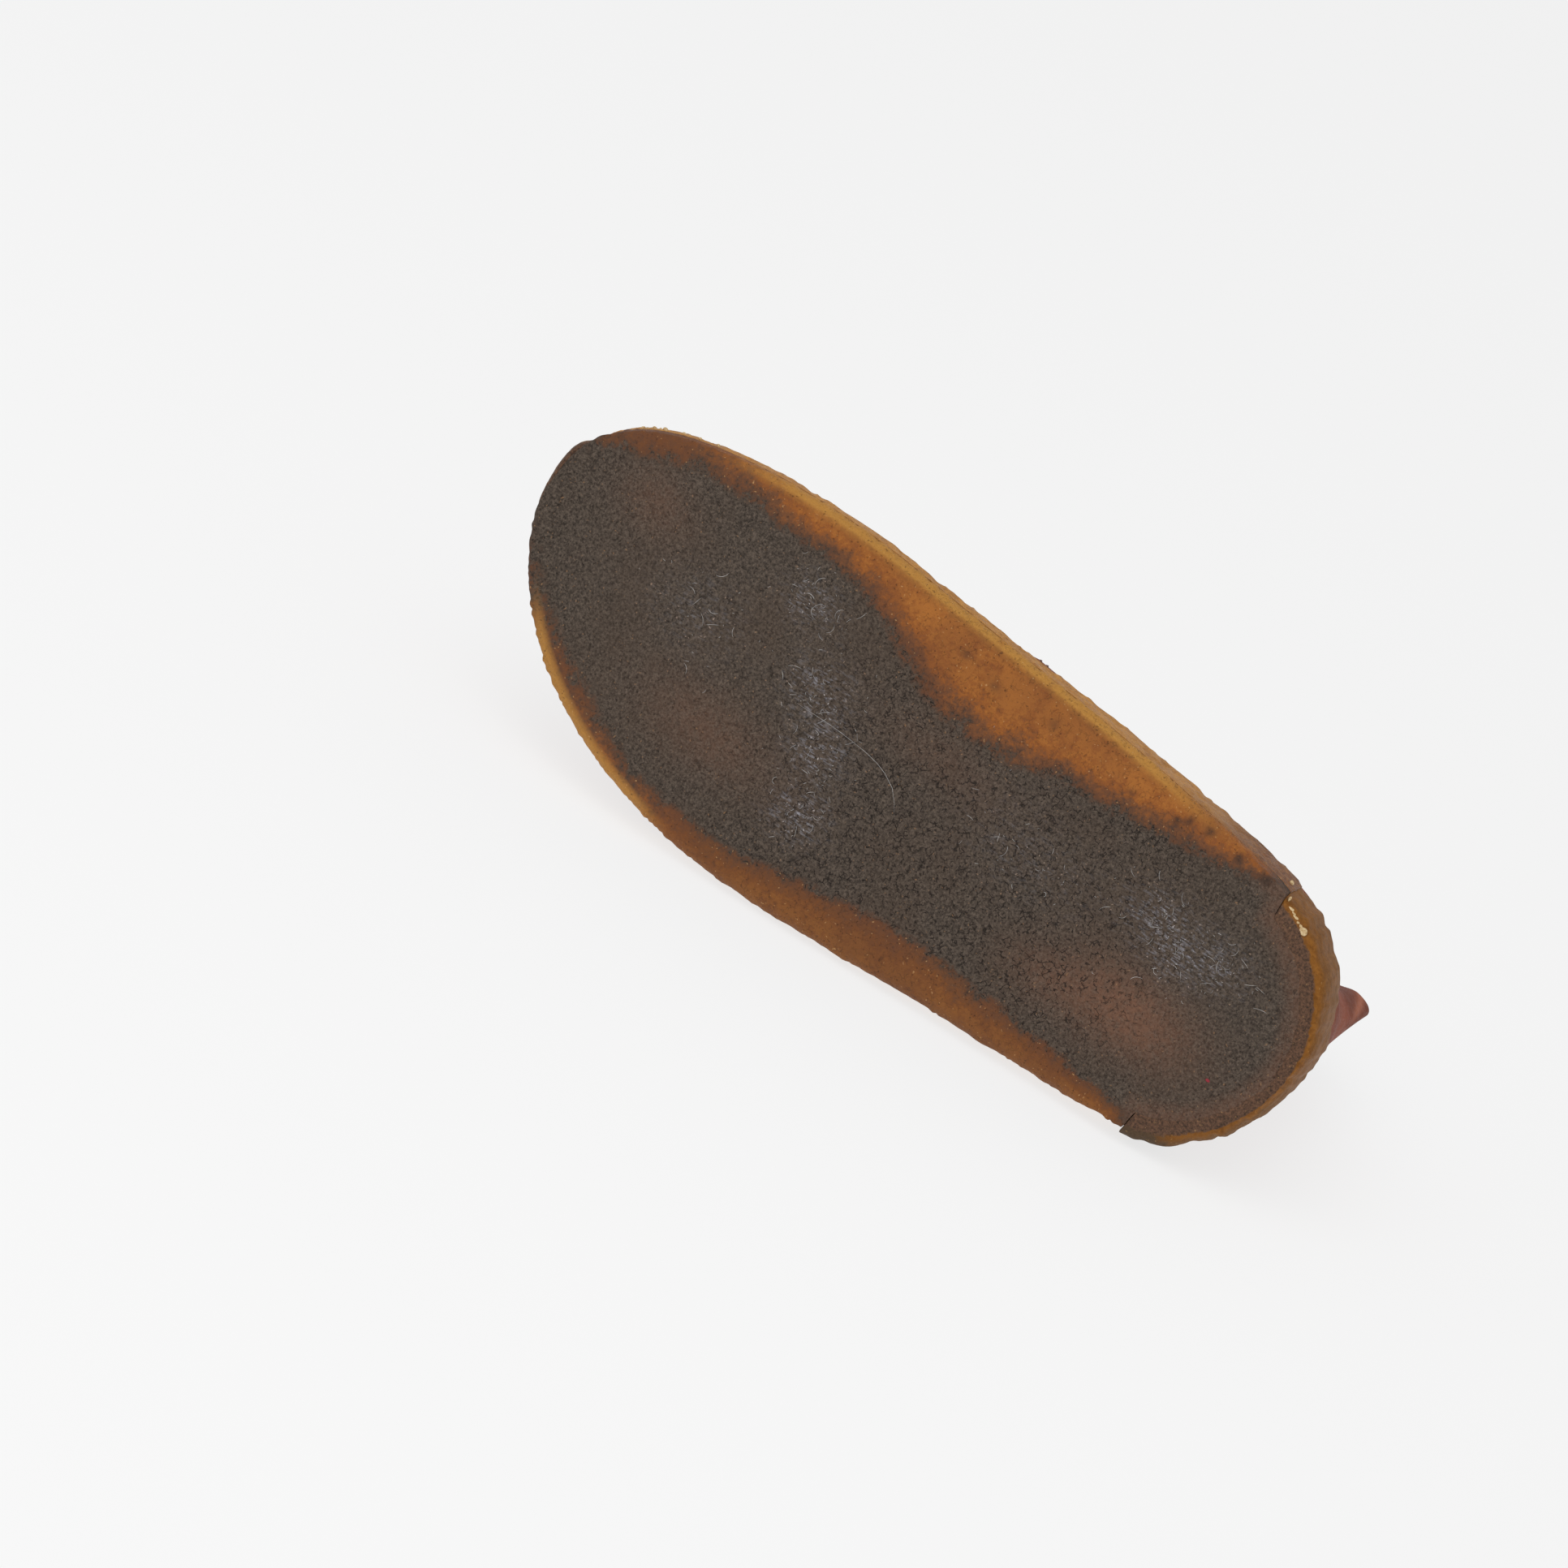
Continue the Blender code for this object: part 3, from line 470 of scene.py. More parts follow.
def smooth_route(points, spacing):
    """Points at an even spacing on a smooth curve through the given ones."""
    points = np.asarray(points, float)
    chord = np.linalg.norm(np.diff(points, axis=0), axis=1)
    places = np.append(0.0, np.cumsum(np.sqrt(chord)))
    fine = np.stack([through(places, row, np.linspace(0.0, places[-1], 2000)) for row in points.T], axis=1)
    run = run_along(fine)
    return read_off(np.linspace(0.0, run[-1], max(3, round(run[-1] / spacing) + 1)), run, fine)


def tube(path, width, seed=1):
    """Strand along a path: a rounded square on frames that turn no more than the path, its ends closed."""
    along = unit(np.gradient(path, axis=0))
    across = np.empty_like(path)
    across[0] = unit(np.cross(along[0], (0.3, 0.2, 0.9)))
    for i in range(1, len(path)):
        across[i] = unit(across[i - 1] - along[i] * (across[i - 1] @ along[i]))
    angle = np.linspace(0.0, 2.0 * np.pi, SIDES, endpoint=False)
    ring = (np.abs(np.cos(angle)) ** SQUARENESS + np.abs(np.sin(angle)) ** SQUARENESS) ** (-1.0 / SQUARENESS)
    turnings = 0.35 * np.sin(np.linspace(0.0, len(path) * 0.05, len(path)))[:, None] + angle
    size = 0.465 * width * ring * (1.0 + 0.05 * lumps(path, 7.0, seed)[:, None])
    grow = np.ones(len(path))
    grow[[0, -1]] = 0.0
    grow[[1, -2]] = 0.9
    return swept(path, across, np.cross(along, across), size * grow[:, None], turnings)


def with_blunt_ends(route):
    """A route with a second point close to each end, where the strand closes."""
    start, end = route[:1], route[-1:]
    return np.concatenate([start, start + (route[1:2] - start) * 0.02, route[1:-1],
                           end + (route[-2:-1] - end) * 0.02, end])


for strand, (leaves, passes, returns) in STRANDS.items():
    stops = [knot_side(leaves), *passes] + ([knot_side(returns)] if returns else [])
    route = with_blunt_ends(smooth_route(stops, STATION))
    points, faces = joined([tube(route, LACE)])
    piece = add_piece(strand + "_strand", points * MM, faces, [lace_look], [strand])

# %% [markdown]
# The knot itself is two short lobes of lace that lie along the front of the boot and one turn that binds
# them. Each is a small closed curve with the same section as the strands.

# %% Knot
around = np.linspace(0.0, 2.0 * np.pi, 61)


def knot_place(across, along, outward):
    """Point of the knot in millimetres, from its own three axes."""
    return KNOT_AT + np.stack([across, along, outward], axis=-1) @ KNOT_AXES


lobes = knot_place(2.1 * np.sin(2.0 * around), 4.5 * np.cos(around), -1.2 + 1.0 * np.sin(around))
binding = knot_place(2.7 * np.cos(around), 0.9 * np.cos(around) + 0.5, 0.2 + 2.4 * np.sin(around))
points, faces = joined([tube(lobes, LACE * 0.95, seed=5), tube(binding, LACE * 0.95, seed=6)])
add_piece("lace_knot_turns", points * MM, faces, [lace_look], ["lace_knot"])

# %% [markdown]
# ## The shape of the sole
# Seen from below, the sole is a middle line and a half width at a few stations, closed roundly at heel and
# toe. The same outline, moved in or out, gives the tread, the sides, the strips and the seat of the upper.

# %% Sole outline
LENGTH, TREAD = 308.0, 7.0
TOE_SPRING, SPRING_FROM = 13.0, 215.0
ARCH_LIFT, ARCH_AT, ARCH_REACH = 1.8, 125.0, 48.0
HEEL_BEVEL, HEEL_BEVEL_TO = 1.6, 20.0
HEEL_CENTRE, HEEL_POWER = 46.5, 1.92
TOE_FROM, TOE_POWER = 192.0, 2.15
EDGE_ROUND, EDGE_RISE, TRIMMED_EDGE, CORE_INSET = 8.0, 5.5, 0.35, 30.0
WRAP, WRAP_PROUD = 7.2, 1.2
NOTCH_BACK, NOTCH_FRONT = 37.5, 38.7
BUMPER, BUMPER_REACH = 3.0, 0.0135
HEEL_END, TOE_END = WRAP + WRAP_PROUD, LENGTH - BUMPER
SOLE_RUN = TOE_END - HEEL_END
# Columns: x, the middle line and the half width.
PLAN = np.array((
    (0.0, 0.5, 46.2), (40.0, 1.0, 47.0), (75.0, 1.4, 50.2), (110.0, 1.2, 53.2), (150.0, -0.2, 56.2),
    (185.0, -0.9, 58.4), (230.0, 0.9, 58.8), (265.0, 4.0, 58.8), (308.0, 12.0, 58.8),
))
# Columns: x, the height of the upper's seat over the tread and how far the upper stands in from the edge.
SEAT = np.array((
    (0.0, 25.0, 11.5), (45.0, 24.6, 11.2), (90.0, 22.2, 8.4), (140.0, 17.6, 6.6), (195.0, 14.4, 6.0),
    (308.0, 14.0, 6.0),
))


def centre(x):
    """Middle line of the sole."""
    return through(PLAN[:, 0], PLAN[:, 1], x)


def half_width(x):
    """Half width of the sole before its ends are closed."""
    return through(PLAN[:, 0], PLAN[:, 2], x)


def seat(x, column):
    """One column of the seat's table."""
    return through(SEAT[:, 0], SEAT[:, column], x)


def rounded(share, power):
    """Height of a unit superellipse at a share of its half length, and 1 before its middle."""
    return (1.0 - np.clip(share, 0.0, 1.0) ** power) ** (1.0 / power)


def half_plan(x, heel_end, toe_end, inset):
    """Half width of an outline that closes roundly at both ends, moved in by an inset."""
    heel = rounded((HEEL_CENTRE - x) / (HEEL_CENTRE - heel_end), HEEL_POWER)
    toe = rounded((x - TOE_FROM) / (toe_end - TOE_FROM), TOE_POWER)
    return (half_width(x) - inset) * heel * toe


def toe_lift(x):
    """Lift of the whole sole where it turns up to the toe: it grows with the square of the way."""
    return TOE_SPRING * (np.clip(x - SPRING_FROM, 0.0, None) / (LENGTH - SPRING_FROM)) ** 2


def tread_height(x, y):
    """Height of the tread: toe spring, a worn bevel behind the heel and the lifted arch."""
    heel = HEEL_BEVEL * (np.clip(HEEL_BEVEL_TO - x, 0.0, None) / HEEL_BEVEL_TO) ** 2
    along = np.clip(1.0 - ((x - ARCH_AT) / ARCH_REACH) ** 2, 0.0, None)
    return toe_lift(x) + heel + ARCH_LIFT * along * step(4.0, 48.0, y)


def seat_height(x):
    """Top of the sole, where the upper stands on it."""
    return toe_lift(x) + seat(x, 1)


def sole_place(share, inset, side, under_strip=False):
    """Plan position on the outline moved in by an inset, at a share of the length from heel to toe."""
    x = HEEL_END + SOLE_RUN * share
    rabbet = WRAP if under_strip else WRAP * (1.0 - step(NOTCH_BACK, NOTCH_FRONT, x))
    half = half_plan(x, HEEL_END, TOE_END, rabbet) * (1.0 - inset / half_width(x))
    return HEEL_END + inset + (SOLE_RUN - 2.0 * inset) * share, centre(x) + side * half


def cut_back(x, y):
    """How far the outer edge is trimmed in just in front of the heel strip: a bell along the edge."""
    return 1.8 * bell(x, 44.0, 9.0) * step(-30.0, -44.0, y)


def sole_shares(count):
    """Shares of the length, closer together at heel and toe where the outline turns, and at the notch."""
    even = 0.5 - 0.5 * np.cos(np.linspace(0.0, np.pi, count))
    notch = (np.linspace(NOTCH_BACK, NOTCH_FRONT, 5) - HEEL_END) / SOLE_RUN
    keep = even[np.abs(even[:, None] - notch).min(axis=1) > 0.0008]
    return np.sort(np.concatenate([keep, notch]))


def grid_normals(points):
    """Direction across a grid of closed rows at each point: the cross product of its two slopes."""
    down = np.gradient(points, axis=0)
    along = np.roll(points, -1, axis=1) - np.roll(points, 1, axis=1)
    return unit(np.cross(along, down))


print("sole width at the ball", round(float(2.0 * half_plan(np.array(205.0), HEEL_END, TOE_END, 0.0)), 1))

# %% [markdown]
# ## Crepe rubber
# Crepe is natural rubber pressed into crinkled sheets. Where it is worn it turns dark and felt-like, with
# small pits, short cracks and flecks; where it was never walked on it stays orange, with brown dots. One
# group gives the felt, lumps, pits, cracks, flecks and blotches, and each crepe finish mixes its own
# colours with them.

# %% Crepe grain group
CREPE_WARP = (0.0026, 0.0026, 0.0026)
placed = start_group("crepe_grain", Vector="Vector")["Vector"]
warp = node("TexNoise", {"Vector": placed, "Scale": 420.0, "Detail": 2.0}).outputs["Color"]
bent = node("VectorMath", {0: warp, 1: CREPE_WARP, 2: placed}, operation="MULTIPLY_ADD").outputs[0]


def chosen_dots(scale, reach, channel, low, high):
    """Small round dots: the middles of random cells, of which only those above a limit are kept."""
    cells = node("TexVoronoi", {"Vector": bent, "Scale": scale})
    lots = node("SeparateColor", {0: cells.outputs["Color"]}).outputs[channel]
    return times(between(cells.outputs["Distance"], reach, reach * 0.4), between(lots, low, high))


rifts = node("TexVoronoi", {"Vector": bent, "Scale": 480.0}, feature="DISTANCE_TO_EDGE").outputs["Distance"]
short = between(noise(560.0, where=placed), 0.5, 0.58)
end_group(
    Felt=noise(1150.0, 5.0, 0.78, placed),
    Lump=noise(520.0, 3.0, 0.6, bent),
    Pits=chosen_dots(980.0, 0.32, 0, 0.7, 0.85),
    Cracks=times(between(rifts, 0.07, 0.02), short),
    Flecks=chosen_dots(900.0, 0.27, 2, 0.82, 0.88),
    Blotch=noise(110.0, 4.0, 0.6, placed),
)

# %% [markdown]
# The tread's finish starts from the dark felt and lays coats over it: rust-brown patches, the orange of
# crepe that never met the ground, its pale sides and stains, then pits, cracks, flecks and lint. Marks on
# the mesh say where.

# %% Worn tread finish
RAW_SHADES = (
    (0.06, (82, 66, 54)), (0.26, (94, 64, 46)), (0.46, (120, 76, 46)), (0.7, (150, 88, 38)),
    (0.95, (172, 107, 46)),
)
start_look("worn_crepe")
grain = use_group("crepe_grain")
felt, lump, blotch = grain["Felt"], grain["Lump"], grain["Blotch"]
slow = noise(40.0, 3.0, 0.55)
raw = mark("raw")
ragged = scaled(between(blotch, 0.3, 0.7), 0.36, -0.5)
ragged = scaled(between(lump, 0.3, 0.7), 0.36, ragged)
ragged = scaled(between(felt, 0.3, 0.7), 0.28, ragged)
edge = scaled(raw, 0.92, times(ragged, between(raw, 0.0, 0.2)), clamp=True)
ramp = node("ValToRGB", {"Fac": edge})
stops = ramp.color_ramp.elements
while len(stops) < len(RAW_SHADES):
    stops.new(0.5)
for stop, (position, shade) in zip(stops, RAW_SHADES):
    stop.position, stop.color = position, tint(*shade)
untrodden = between(edge, 0.04, 0.24)
cracked = times(grain["Cracks"], mark("cracked"), scaled(untrodden, -0.7, 1.0))
comb = {"Rotation": (0.0, 0.6, 0.0), "Scale": (0.3, 1.0, 1.5)}
combed = node("Mapping", {"Vector": Bench.where, **comb}).outputs[0]
hairs = between(noise(1100.0, 3.0, 0.65, combed), 0.46, 0.66)
lint = mark("lint")
colour = layered(
    mix(between(felt, 0.36, 0.64), (38, 32, 27), (109, 96, 85)),
    (share_of(lump, 0.45, 0.7, 0.4), (60, 52, 46)),
    (share_of(slow, 0.42, 0.66, 0.32), (86, 70, 58)),
    (times(mark("rust"), between(lump, 0.0, 0.62)), mix(felt, (94, 60, 42), (142, 106, 86))),
    (untrodden, ramp.outputs[0]),
    (times(untrodden, between(slow, 0.44, 0.62), 0.4), (120, 70, 40)),
    (times(mark("dull"), share_of(edge, 0.2, 0.6, 0.5)), (92, 60, 38)),
    (times(mark("side"), between(blotch, 0.1, 0.42)), mix(felt, (162, 110, 42), (208, 152, 76))),
    (times(mark("line"), between(lump, 0.38, 0.6), 0.5), (98, 62, 36)),
    (times(mark("stain"), between(felt, 0.25, 0.5)), (62, 46, 38)),
    (times(grain["Pits"], 0.5), mix(untrodden, (40, 33, 28), (90, 56, 36))),
    (times(cracked, 0.85), (34, 28, 23)),
    (times(grain["Flecks"], 0.6), mix(untrodden, (158, 120, 86), (206, 160, 106))),
    (times(lint, hairs, between(lump, 0.42, 0.62)), (156, 154, 160)),
    (times(grain["Flecks"], lint), (200, 198, 200)),
)
height = scaled(maths("ADD", grain["Pits"], cracked), -0.7, scaled(lump, 0.8, felt))
tread_look = finish_look(colour, scaled(untrodden, -0.28, 0.88), height, 0.0004, specular=0.2)

# %% [markdown]
# ## The outsole
# The outsole is one closed sheet: a flat top, a short side, a worn round edge and the tread. It is a grid
# whose rows run across the sole and whose columns run round its section. Wear is relief: slow dents over
# the tread and fine scallops on the edge, which is also cut back a little in front of the heel strip. Where
# the tread met the ground is drawn as two lines of x and y, and rust, lint and stains are listed spots.

# %% Outsole marks
# Columns: x, the inner line and the width of its change, the outer line and the width of its change.
RAW_LINES = np.array((
    (38.0, 51.5, 8.0, -41.5, 6.0), (45.0, 47.0, 9.0, -39.5, 7.0), (60.0, 42.5, 10.0, -38.5, 8.0),
    (76.0, 40.0, 11.0, -37.5, 9.0), (97.0, 35.5, 12.0, -37.0, 10.0), (116.0, 34.0, 12.0, -37.0, 11.0),
    (134.0, 28.5, 14.0, -38.5, 11.0), (152.0, 28.0, 15.0, -41.0, 10.0), (175.0, 34.0, 14.0, -45.5, 9.0),
    (189.0, 40.5, 12.0, -49.0, 9.0), (207.0, 45.5, 11.0, -49.5, 10.0), (228.0, 45.5, 12.0, -48.0, 12.0),
    (249.0, 46.0, 13.0, -41.0, 16.0), (268.0, 43.0, 15.0, -33.0, 20.0), (284.0, 37.0, 18.0, -24.0, 24.0),
    (300.0, 30.0, 24.0, -12.0, 30.0),
))
# Columns: x, y, reach along, reach across and strength.
RUST_SPOTS = ((57.0, -13.0, 22.0, 12.0, 1.0), (84.0, -20.0, 16.0, 8.0, 0.4), (216.0, -22.0, 24.0, 12.0, 0.4),
              (272.0, 26.0, 14.0, 10.0, 0.35), (150.0, 16.0, 26.0, 8.0, 0.2))
LINT_SPOTS = ((212.0, 31.0, 9.0, 7.0, 0.7), (194.0, 10.0, 10.0, 9.0, 0.9), (184.0, -6.0, 9.0, 8.0, 0.9),
              (178.0, -26.0, 9.0, 8.0, 0.9), (68.0, 16.0, 10.0, 8.0, 0.8), (56.0, 12.0, 9.0, 9.0, 0.8),
              (42.0, 16.0, 9.0, 8.0, 0.7), (240.0, 6.0, 16.0, 12.0, 0.3), (110.0, 8.0, 24.0, 12.0, 0.25))
STAIN_SPOTS = ((79.0, 44.5, 1.7, 1.4, 1.0), (76.0, 47.2, 1.3, 1.3, 1.0), (69.0, 48.0, 1.8, 1.3, 1.0),
               (57.0, 47.0, 1.6, 1.6, 1.0), (46.0, 46.5, 2.0, 1.5, 1.0), (96.0, 43.0, 1.5, 1.2, 0.6),
               (163.0, 47.0, 1.8, 1.4, 0.6), (150.0, 44.0, 2.2, 1.6, 0.5), (128.0, 45.5, 1.6, 1.6, 0.5))


def spots(x, y, table):
    """Soft patches: the sum of bells at the given places, kept to 1."""
    total = np.zeros_like(x)
    for at_x, at_y, along, across, strength in table:
        total += strength * bell(x, at_x, along) * bell(y, at_y, across)
    return np.clip(total, 0.0, 1.0)


def raw_share(x, y):
    """How little the tread has met the ground: from 0 just inside either listed line to 1 beyond it."""
    inner, inner_soft, outer, outer_soft = (through(RAW_LINES[:, 0], column, x) for column in RAW_LINES.T[1:])
    past_inner, past_outer = (y - inner) / inner_soft, (outer - y) / outer_soft
    return np.maximum(step(-0.45, 1.0, past_inner), step(-0.45, 1.0, past_outer)) * step(36.0, 44.0, x)


def tread_marks(x, y, bend, inset, shown):
    """Marks on the outsole. Bend is 0 on the tread and 1 on the side; shown is false on the top."""
    inner, outer = shown & (y > 0.0), shown & (y < 0.0)
    pale_inner = step(0.42, 0.62, bend) * inner * span(x, 60.0, 100.0, 232.0, 266.0)
    pale_outer = step(0.24, 0.48, bend) * outer * span(x, 206.0, 228.0, 276.0, 292.0)
    dull_outer = 1.0 - step(195.0, 225.0, x) + 0.6 * step(236.0, 262.0, x)
    heel_rim = 0.5 * step(8.0, 1.0, inset) * (1.0 - step(44.0, 62.0, x)) * shown
    return {
        "raw": raw_share(x, y),
        "side": np.maximum(pale_inner, 0.85 * pale_outer),
        "line": bell(bend, 0.44, 0.1) * (y > 0.0) * span(x, 60.0, 110.0, 236.0, 262.0),
        "dull": np.where(y < 0.0, dull_outer, step(246.0, 282.0, x)),
        "rust": np.maximum(spots(x, y, RUST_SPOTS), heel_rim),
        "lint": spots(x, y, LINT_SPOTS),
        "stain": spots(x, y, STAIN_SPOTS),
        "cracked": 0.35 + 0.65 * span(x, 40.0, 80.0, 165.0, 215.0),
    }


# %% Outsole mesh
TOP, SIDE = 1.5, 1.0
rows = sole_shares(400)


def outsole_side(side):
    """Half of the section on one side, from the middle of the top round the edge to that of the tread."""
    columns = []
    length = HEEL_END + SOLE_RUN * rows
    size = TRIMMED_EDGE + (EDGE_ROUND - TRIMMED_EDGE) * step(NOTCH_BACK, NOTCH_FRONT + 30.0, length)
    for inset in (CORE_INSET, 14.0, 3.0, 0.0):
        x, y = sole_place(rows, inset, side)
        columns.append((x, y, toe_lift(x) + TREAD, np.full_like(x, TOP), np.zeros_like(x)))
    x, y = sole_place(rows, 0.0, side)
    foot = tread_height(x, y) * 0.4 + EDGE_RISE * size / EDGE_ROUND
    for share in (0.35, 0.7):
        height = (toe_lift(x) + TREAD) * (1.0 - share) + foot * share
        columns.append((x, y, height, np.full_like(x, SIDE), np.zeros_like(x)))
    for angle in np.linspace(90.0, 0.0, 9):
        bend = math.radians(angle)
        inset = size * (1.0 - math.sin(bend))
        x, y = sole_place(rows, inset, side)
        rise = EDGE_RISE * size / EDGE_ROUND * (1.0 - math.cos(bend))
        height = tread_height(x, y) * (1.0 - 0.6 * angle / 90.0) + rise
        columns.append((x, y, height, np.full_like(x, angle / 90.0), inset))
    for share in np.linspace(0.0, 1.0, 21)[1:]:
        inset = size + (CORE_INSET - size) * share
        x, y = sole_place(rows, inset, side)
        columns.append((x, y, tread_height(x, y), np.zeros_like(x), inset))
    return np.stack([np.stack(column, axis=-1) for column in columns], axis=1)


outer, inner = outsole_side(-1.0), outsole_side(1.0)
shares = np.linspace(0.0, 1.0, 40)[1:-1, None]
middle = outer[:, -1:] * (1.0 - shares) + inner[:, -1:] * shares
middle[..., 2] = tread_height(middle[..., 0], middle[..., 1])
shares = np.linspace(0.0, 1.0, 4)[1:-1, None]
cover = inner[:, :1] * (1.0 - shares) + outer[:, :1] * shares
section = np.concatenate([outer, middle, inner[:, ::-1], cover], axis=1)
points, bend, inset = section[..., :3], section[..., 3], section[..., 4]
x, y = points[..., 0], points[..., 1]
facing_out = grid_normals(points)
facing_out *= -np.sign((facing_out[..., 2] * (bend < 0.05)).sum())
shown = bend < (TOP + SIDE) / 2.0
relief = 0.20 * lumps(points, 16.0, 11) + 0.10 * lumps(points, 3.1, 12) + 0.06 * lumps(points, 1.6, 13)
scallop = 0.75 * (np.abs(lumps(points * (1.0, 1.0, 0.35), 2.3, 14)) - 0.4)
free = step(NOTCH_FRONT - 0.5, NOTCH_FRONT + 2.0, x)
points = points + facing_out * ((relief + scallop * step(0.2, 0.8, bend) * free) * shown)[..., None]
points[..., 1] += cut_back(x, y)
add_grid("outsole_crepe", points, tread_look, "outsole", tread_marks(x, y, bend, inset, shown))

# %% [markdown]
# ## The midsole
# The wedge above the outsole is clean crepe, soiled brown only near the inner notch. Its side is crinkled:
# short ridges that run along it. The ridges are part of the mesh, because a crinkled outline is what tells
# crepe from moulded rubber.

# %% Raw crepe finish
start_look("raw_crepe")
grain = use_group("crepe_grain")
felt, lump = grain["Felt"], grain["Lump"]
brown = mix(between(felt, 0.35, 0.65), (84, 54, 36), (146, 94, 54))
colour = layered(
    mix(between(lump, 0.3, 0.7), (156, 102, 42), (196, 140, 68)),
    (share_of(felt, 0.35, 0.7, 0.3), (208, 156, 90)),
    (share_of(grain["Blotch"], 0.5, 0.75, 0.45), (130, 80, 38)),
    (times(mark("soiled"), between(lump, 0.1, 0.5)), brown),
    (times(grain["Pits"], 0.35), (88, 54, 28)),
    (times(grain["Flecks"], 0.4), (220, 182, 120)),
)
raw_look = finish_look(colour, scaled(lump, 0.25, 0.42), scaled(felt, 0.4, lump), 0.0005)

# %% Midsole mesh
rows = sole_shares(420)


def midsole_side(side):
    """Half of the section from the middle of the underside up the side to the middle of the top."""
    columns = [(inset, 0.0, 0.0, 0.0) for inset in (CORE_INSET, 10.0, 0.0)]
    columns += [(0.0, share, -1.2 * share, 1.0) for share in np.linspace(0.0, 1.0, 15)[1:]]
    columns += [(0.35, 1.0, -0.35, 1.0), (1.2, 1.0, 0.0, 0.8), (2.5, 1.0, 0.0, 0.5), (4.5, 1.0, 0.0, 0.4),
                (7.0, 1.0, 0.0, 0.0), (12.0, 1.0, 0.0, 0.0), (CORE_INSET, 1.0, 0.0, 0.0)]
    made = []
    for inset, share, lift, rough in columns:
        x, y = sole_place(rows, inset, side)
        under = toe_lift(x) + TREAD + GAP
        height = under + (seat_height(x) - under) * share + lift
        made.append(np.stack([x, y, height, np.full_like(x, rough)], axis=-1))
    return np.stack(made, axis=1)


section = np.concatenate([midsole_side(-1.0), midsole_side(1.0)[:, ::-1]], axis=1)
points, rough_share = section[..., :3], section[..., 3]
facing_out = grid_normals(points)
facing_out *= -np.sign((facing_out[:, 8, 1]).sum())
stretched = points * (0.45, 0.45, 1.0)
crinkle = 0.42 * (1.0 - 2.0 * np.abs(lumps(stretched, 1.7, 21))) + 0.35 * lumps(points, 5.5, 22)
points = points + facing_out * ((crinkle - 0.15) * rough_share)[..., None]
x, y = points[..., 0], points[..., 1]
soiled = step(88.0, 52.0, x) * step(0.0, 10.0, y)
points[..., 1] += cut_back(x, y)
add_grid("midsole_crepe", points, raw_look, "midsole", {"soiled": soiled})

# %% [markdown]
# ## The glued strips
# A strip of crepe was glued round the heel and trimmed by hand, so its outline wanders and its outer end
# stands out, and a small one caps the toe. A strip is one closed section carried round the end of the sole,
# with its ends cut blunt. The heel strip has a lip over the joint, and its inner band is trodden as dark as
# the tread.

# %% Strip finish
start_look("strip_crepe")
grain = use_group("crepe_grain")
felt, lump = grain["Felt"], grain["Lump"]


def broken_mark(name, pattern, amount):
    """A mark whose edge is broken up by a pattern: the pattern's swing about a half is added to it."""
    return scaled(maths("SUBTRACT", pattern, 0.5), amount, mark(name), clamp=True)


rim = broken_mark("rim", grain["Blotch"], 1.1)
dirty = broken_mark("dark", lump, 0.9)
trod = broken_mark("trod", lump, 1.2)
colour = layered(
    mix(between(lump, 0.3, 0.7), (112, 68, 22), (150, 98, 40)),
    (share_of(rim, 0.25, 0.8, 0.85), mix(between(felt, 0.3, 0.7), (80, 53, 28), (142, 99, 54))),
    (between(dirty, 0.2, 0.75), mix(felt, (56, 42, 30), (104, 82, 60))),
    (between(trod, 0.35, 0.65), mix(between(felt, 0.34, 0.66), (46, 37, 31), (118, 86, 66))),
    (times(grain["Pits"], 0.35), (66, 42, 24)),
    (times(grain["Flecks"], 0.35), (206, 164, 104)),
)
strip_look = finish_look(colour, scaled(rim, 0.35, 0.36), scaled(felt, 0.4, lump), 0.0003, specular=0.12)

# %% Strip helpers
# Columns: distance out from the sole's edge and height over the ground.
WRAP_SECTION = ((-0.9, 1.2), (-0.8, 0.1), (0.6, 0.0), (2.0, 0.2), (3.4, 0.6), (5.0, 1.4), (6.2, 3.2),
                (6.9, 8.0), (7.0, 16.0), (6.8, 22.4), (5.6, 23.8), (-0.2, 23.8))
BUMPER_SECTION = ((-0.1, 4.6), (0.4, 3.6), (1.9, 3.9), (2.7, 5.6), (3.0, 9.0), (2.5, 12.4), (-0.1, 12.8))
CAP = (0.0, 0.5, 0.93)


def fine_section(section, count):
    """Closed section read at even steps along its sides."""
    corners = np.array(section + section[:1])
    run = run_along(corners)
    return read_off(np.linspace(0.0, run[-1], count, endpoint=False), run, corners)


def add_strip(name, points, node_name, **marks):
    """Strip closed at both ends by its end sections shrunk to a point, with the ends' marks."""
    caps = []
    for end, shares in ((points[:1], CAP), (points[-1:], CAP[::-1])):
        heart = end.mean(axis=1, keepdims=True)
        caps.append(np.concatenate([heart + (end - heart) * share for share in shares]))
    for key, value in marks.items():
        value = np.broadcast_to(value, points.shape[:2])
        marks[key] = np.concatenate([value[:1].repeat(len(CAP), 0), value, value[-1:].repeat(len(CAP), 0)])
    add_grid(name, np.concatenate([caps[0], points, caps[1]]), strip_look, node_name, marks)


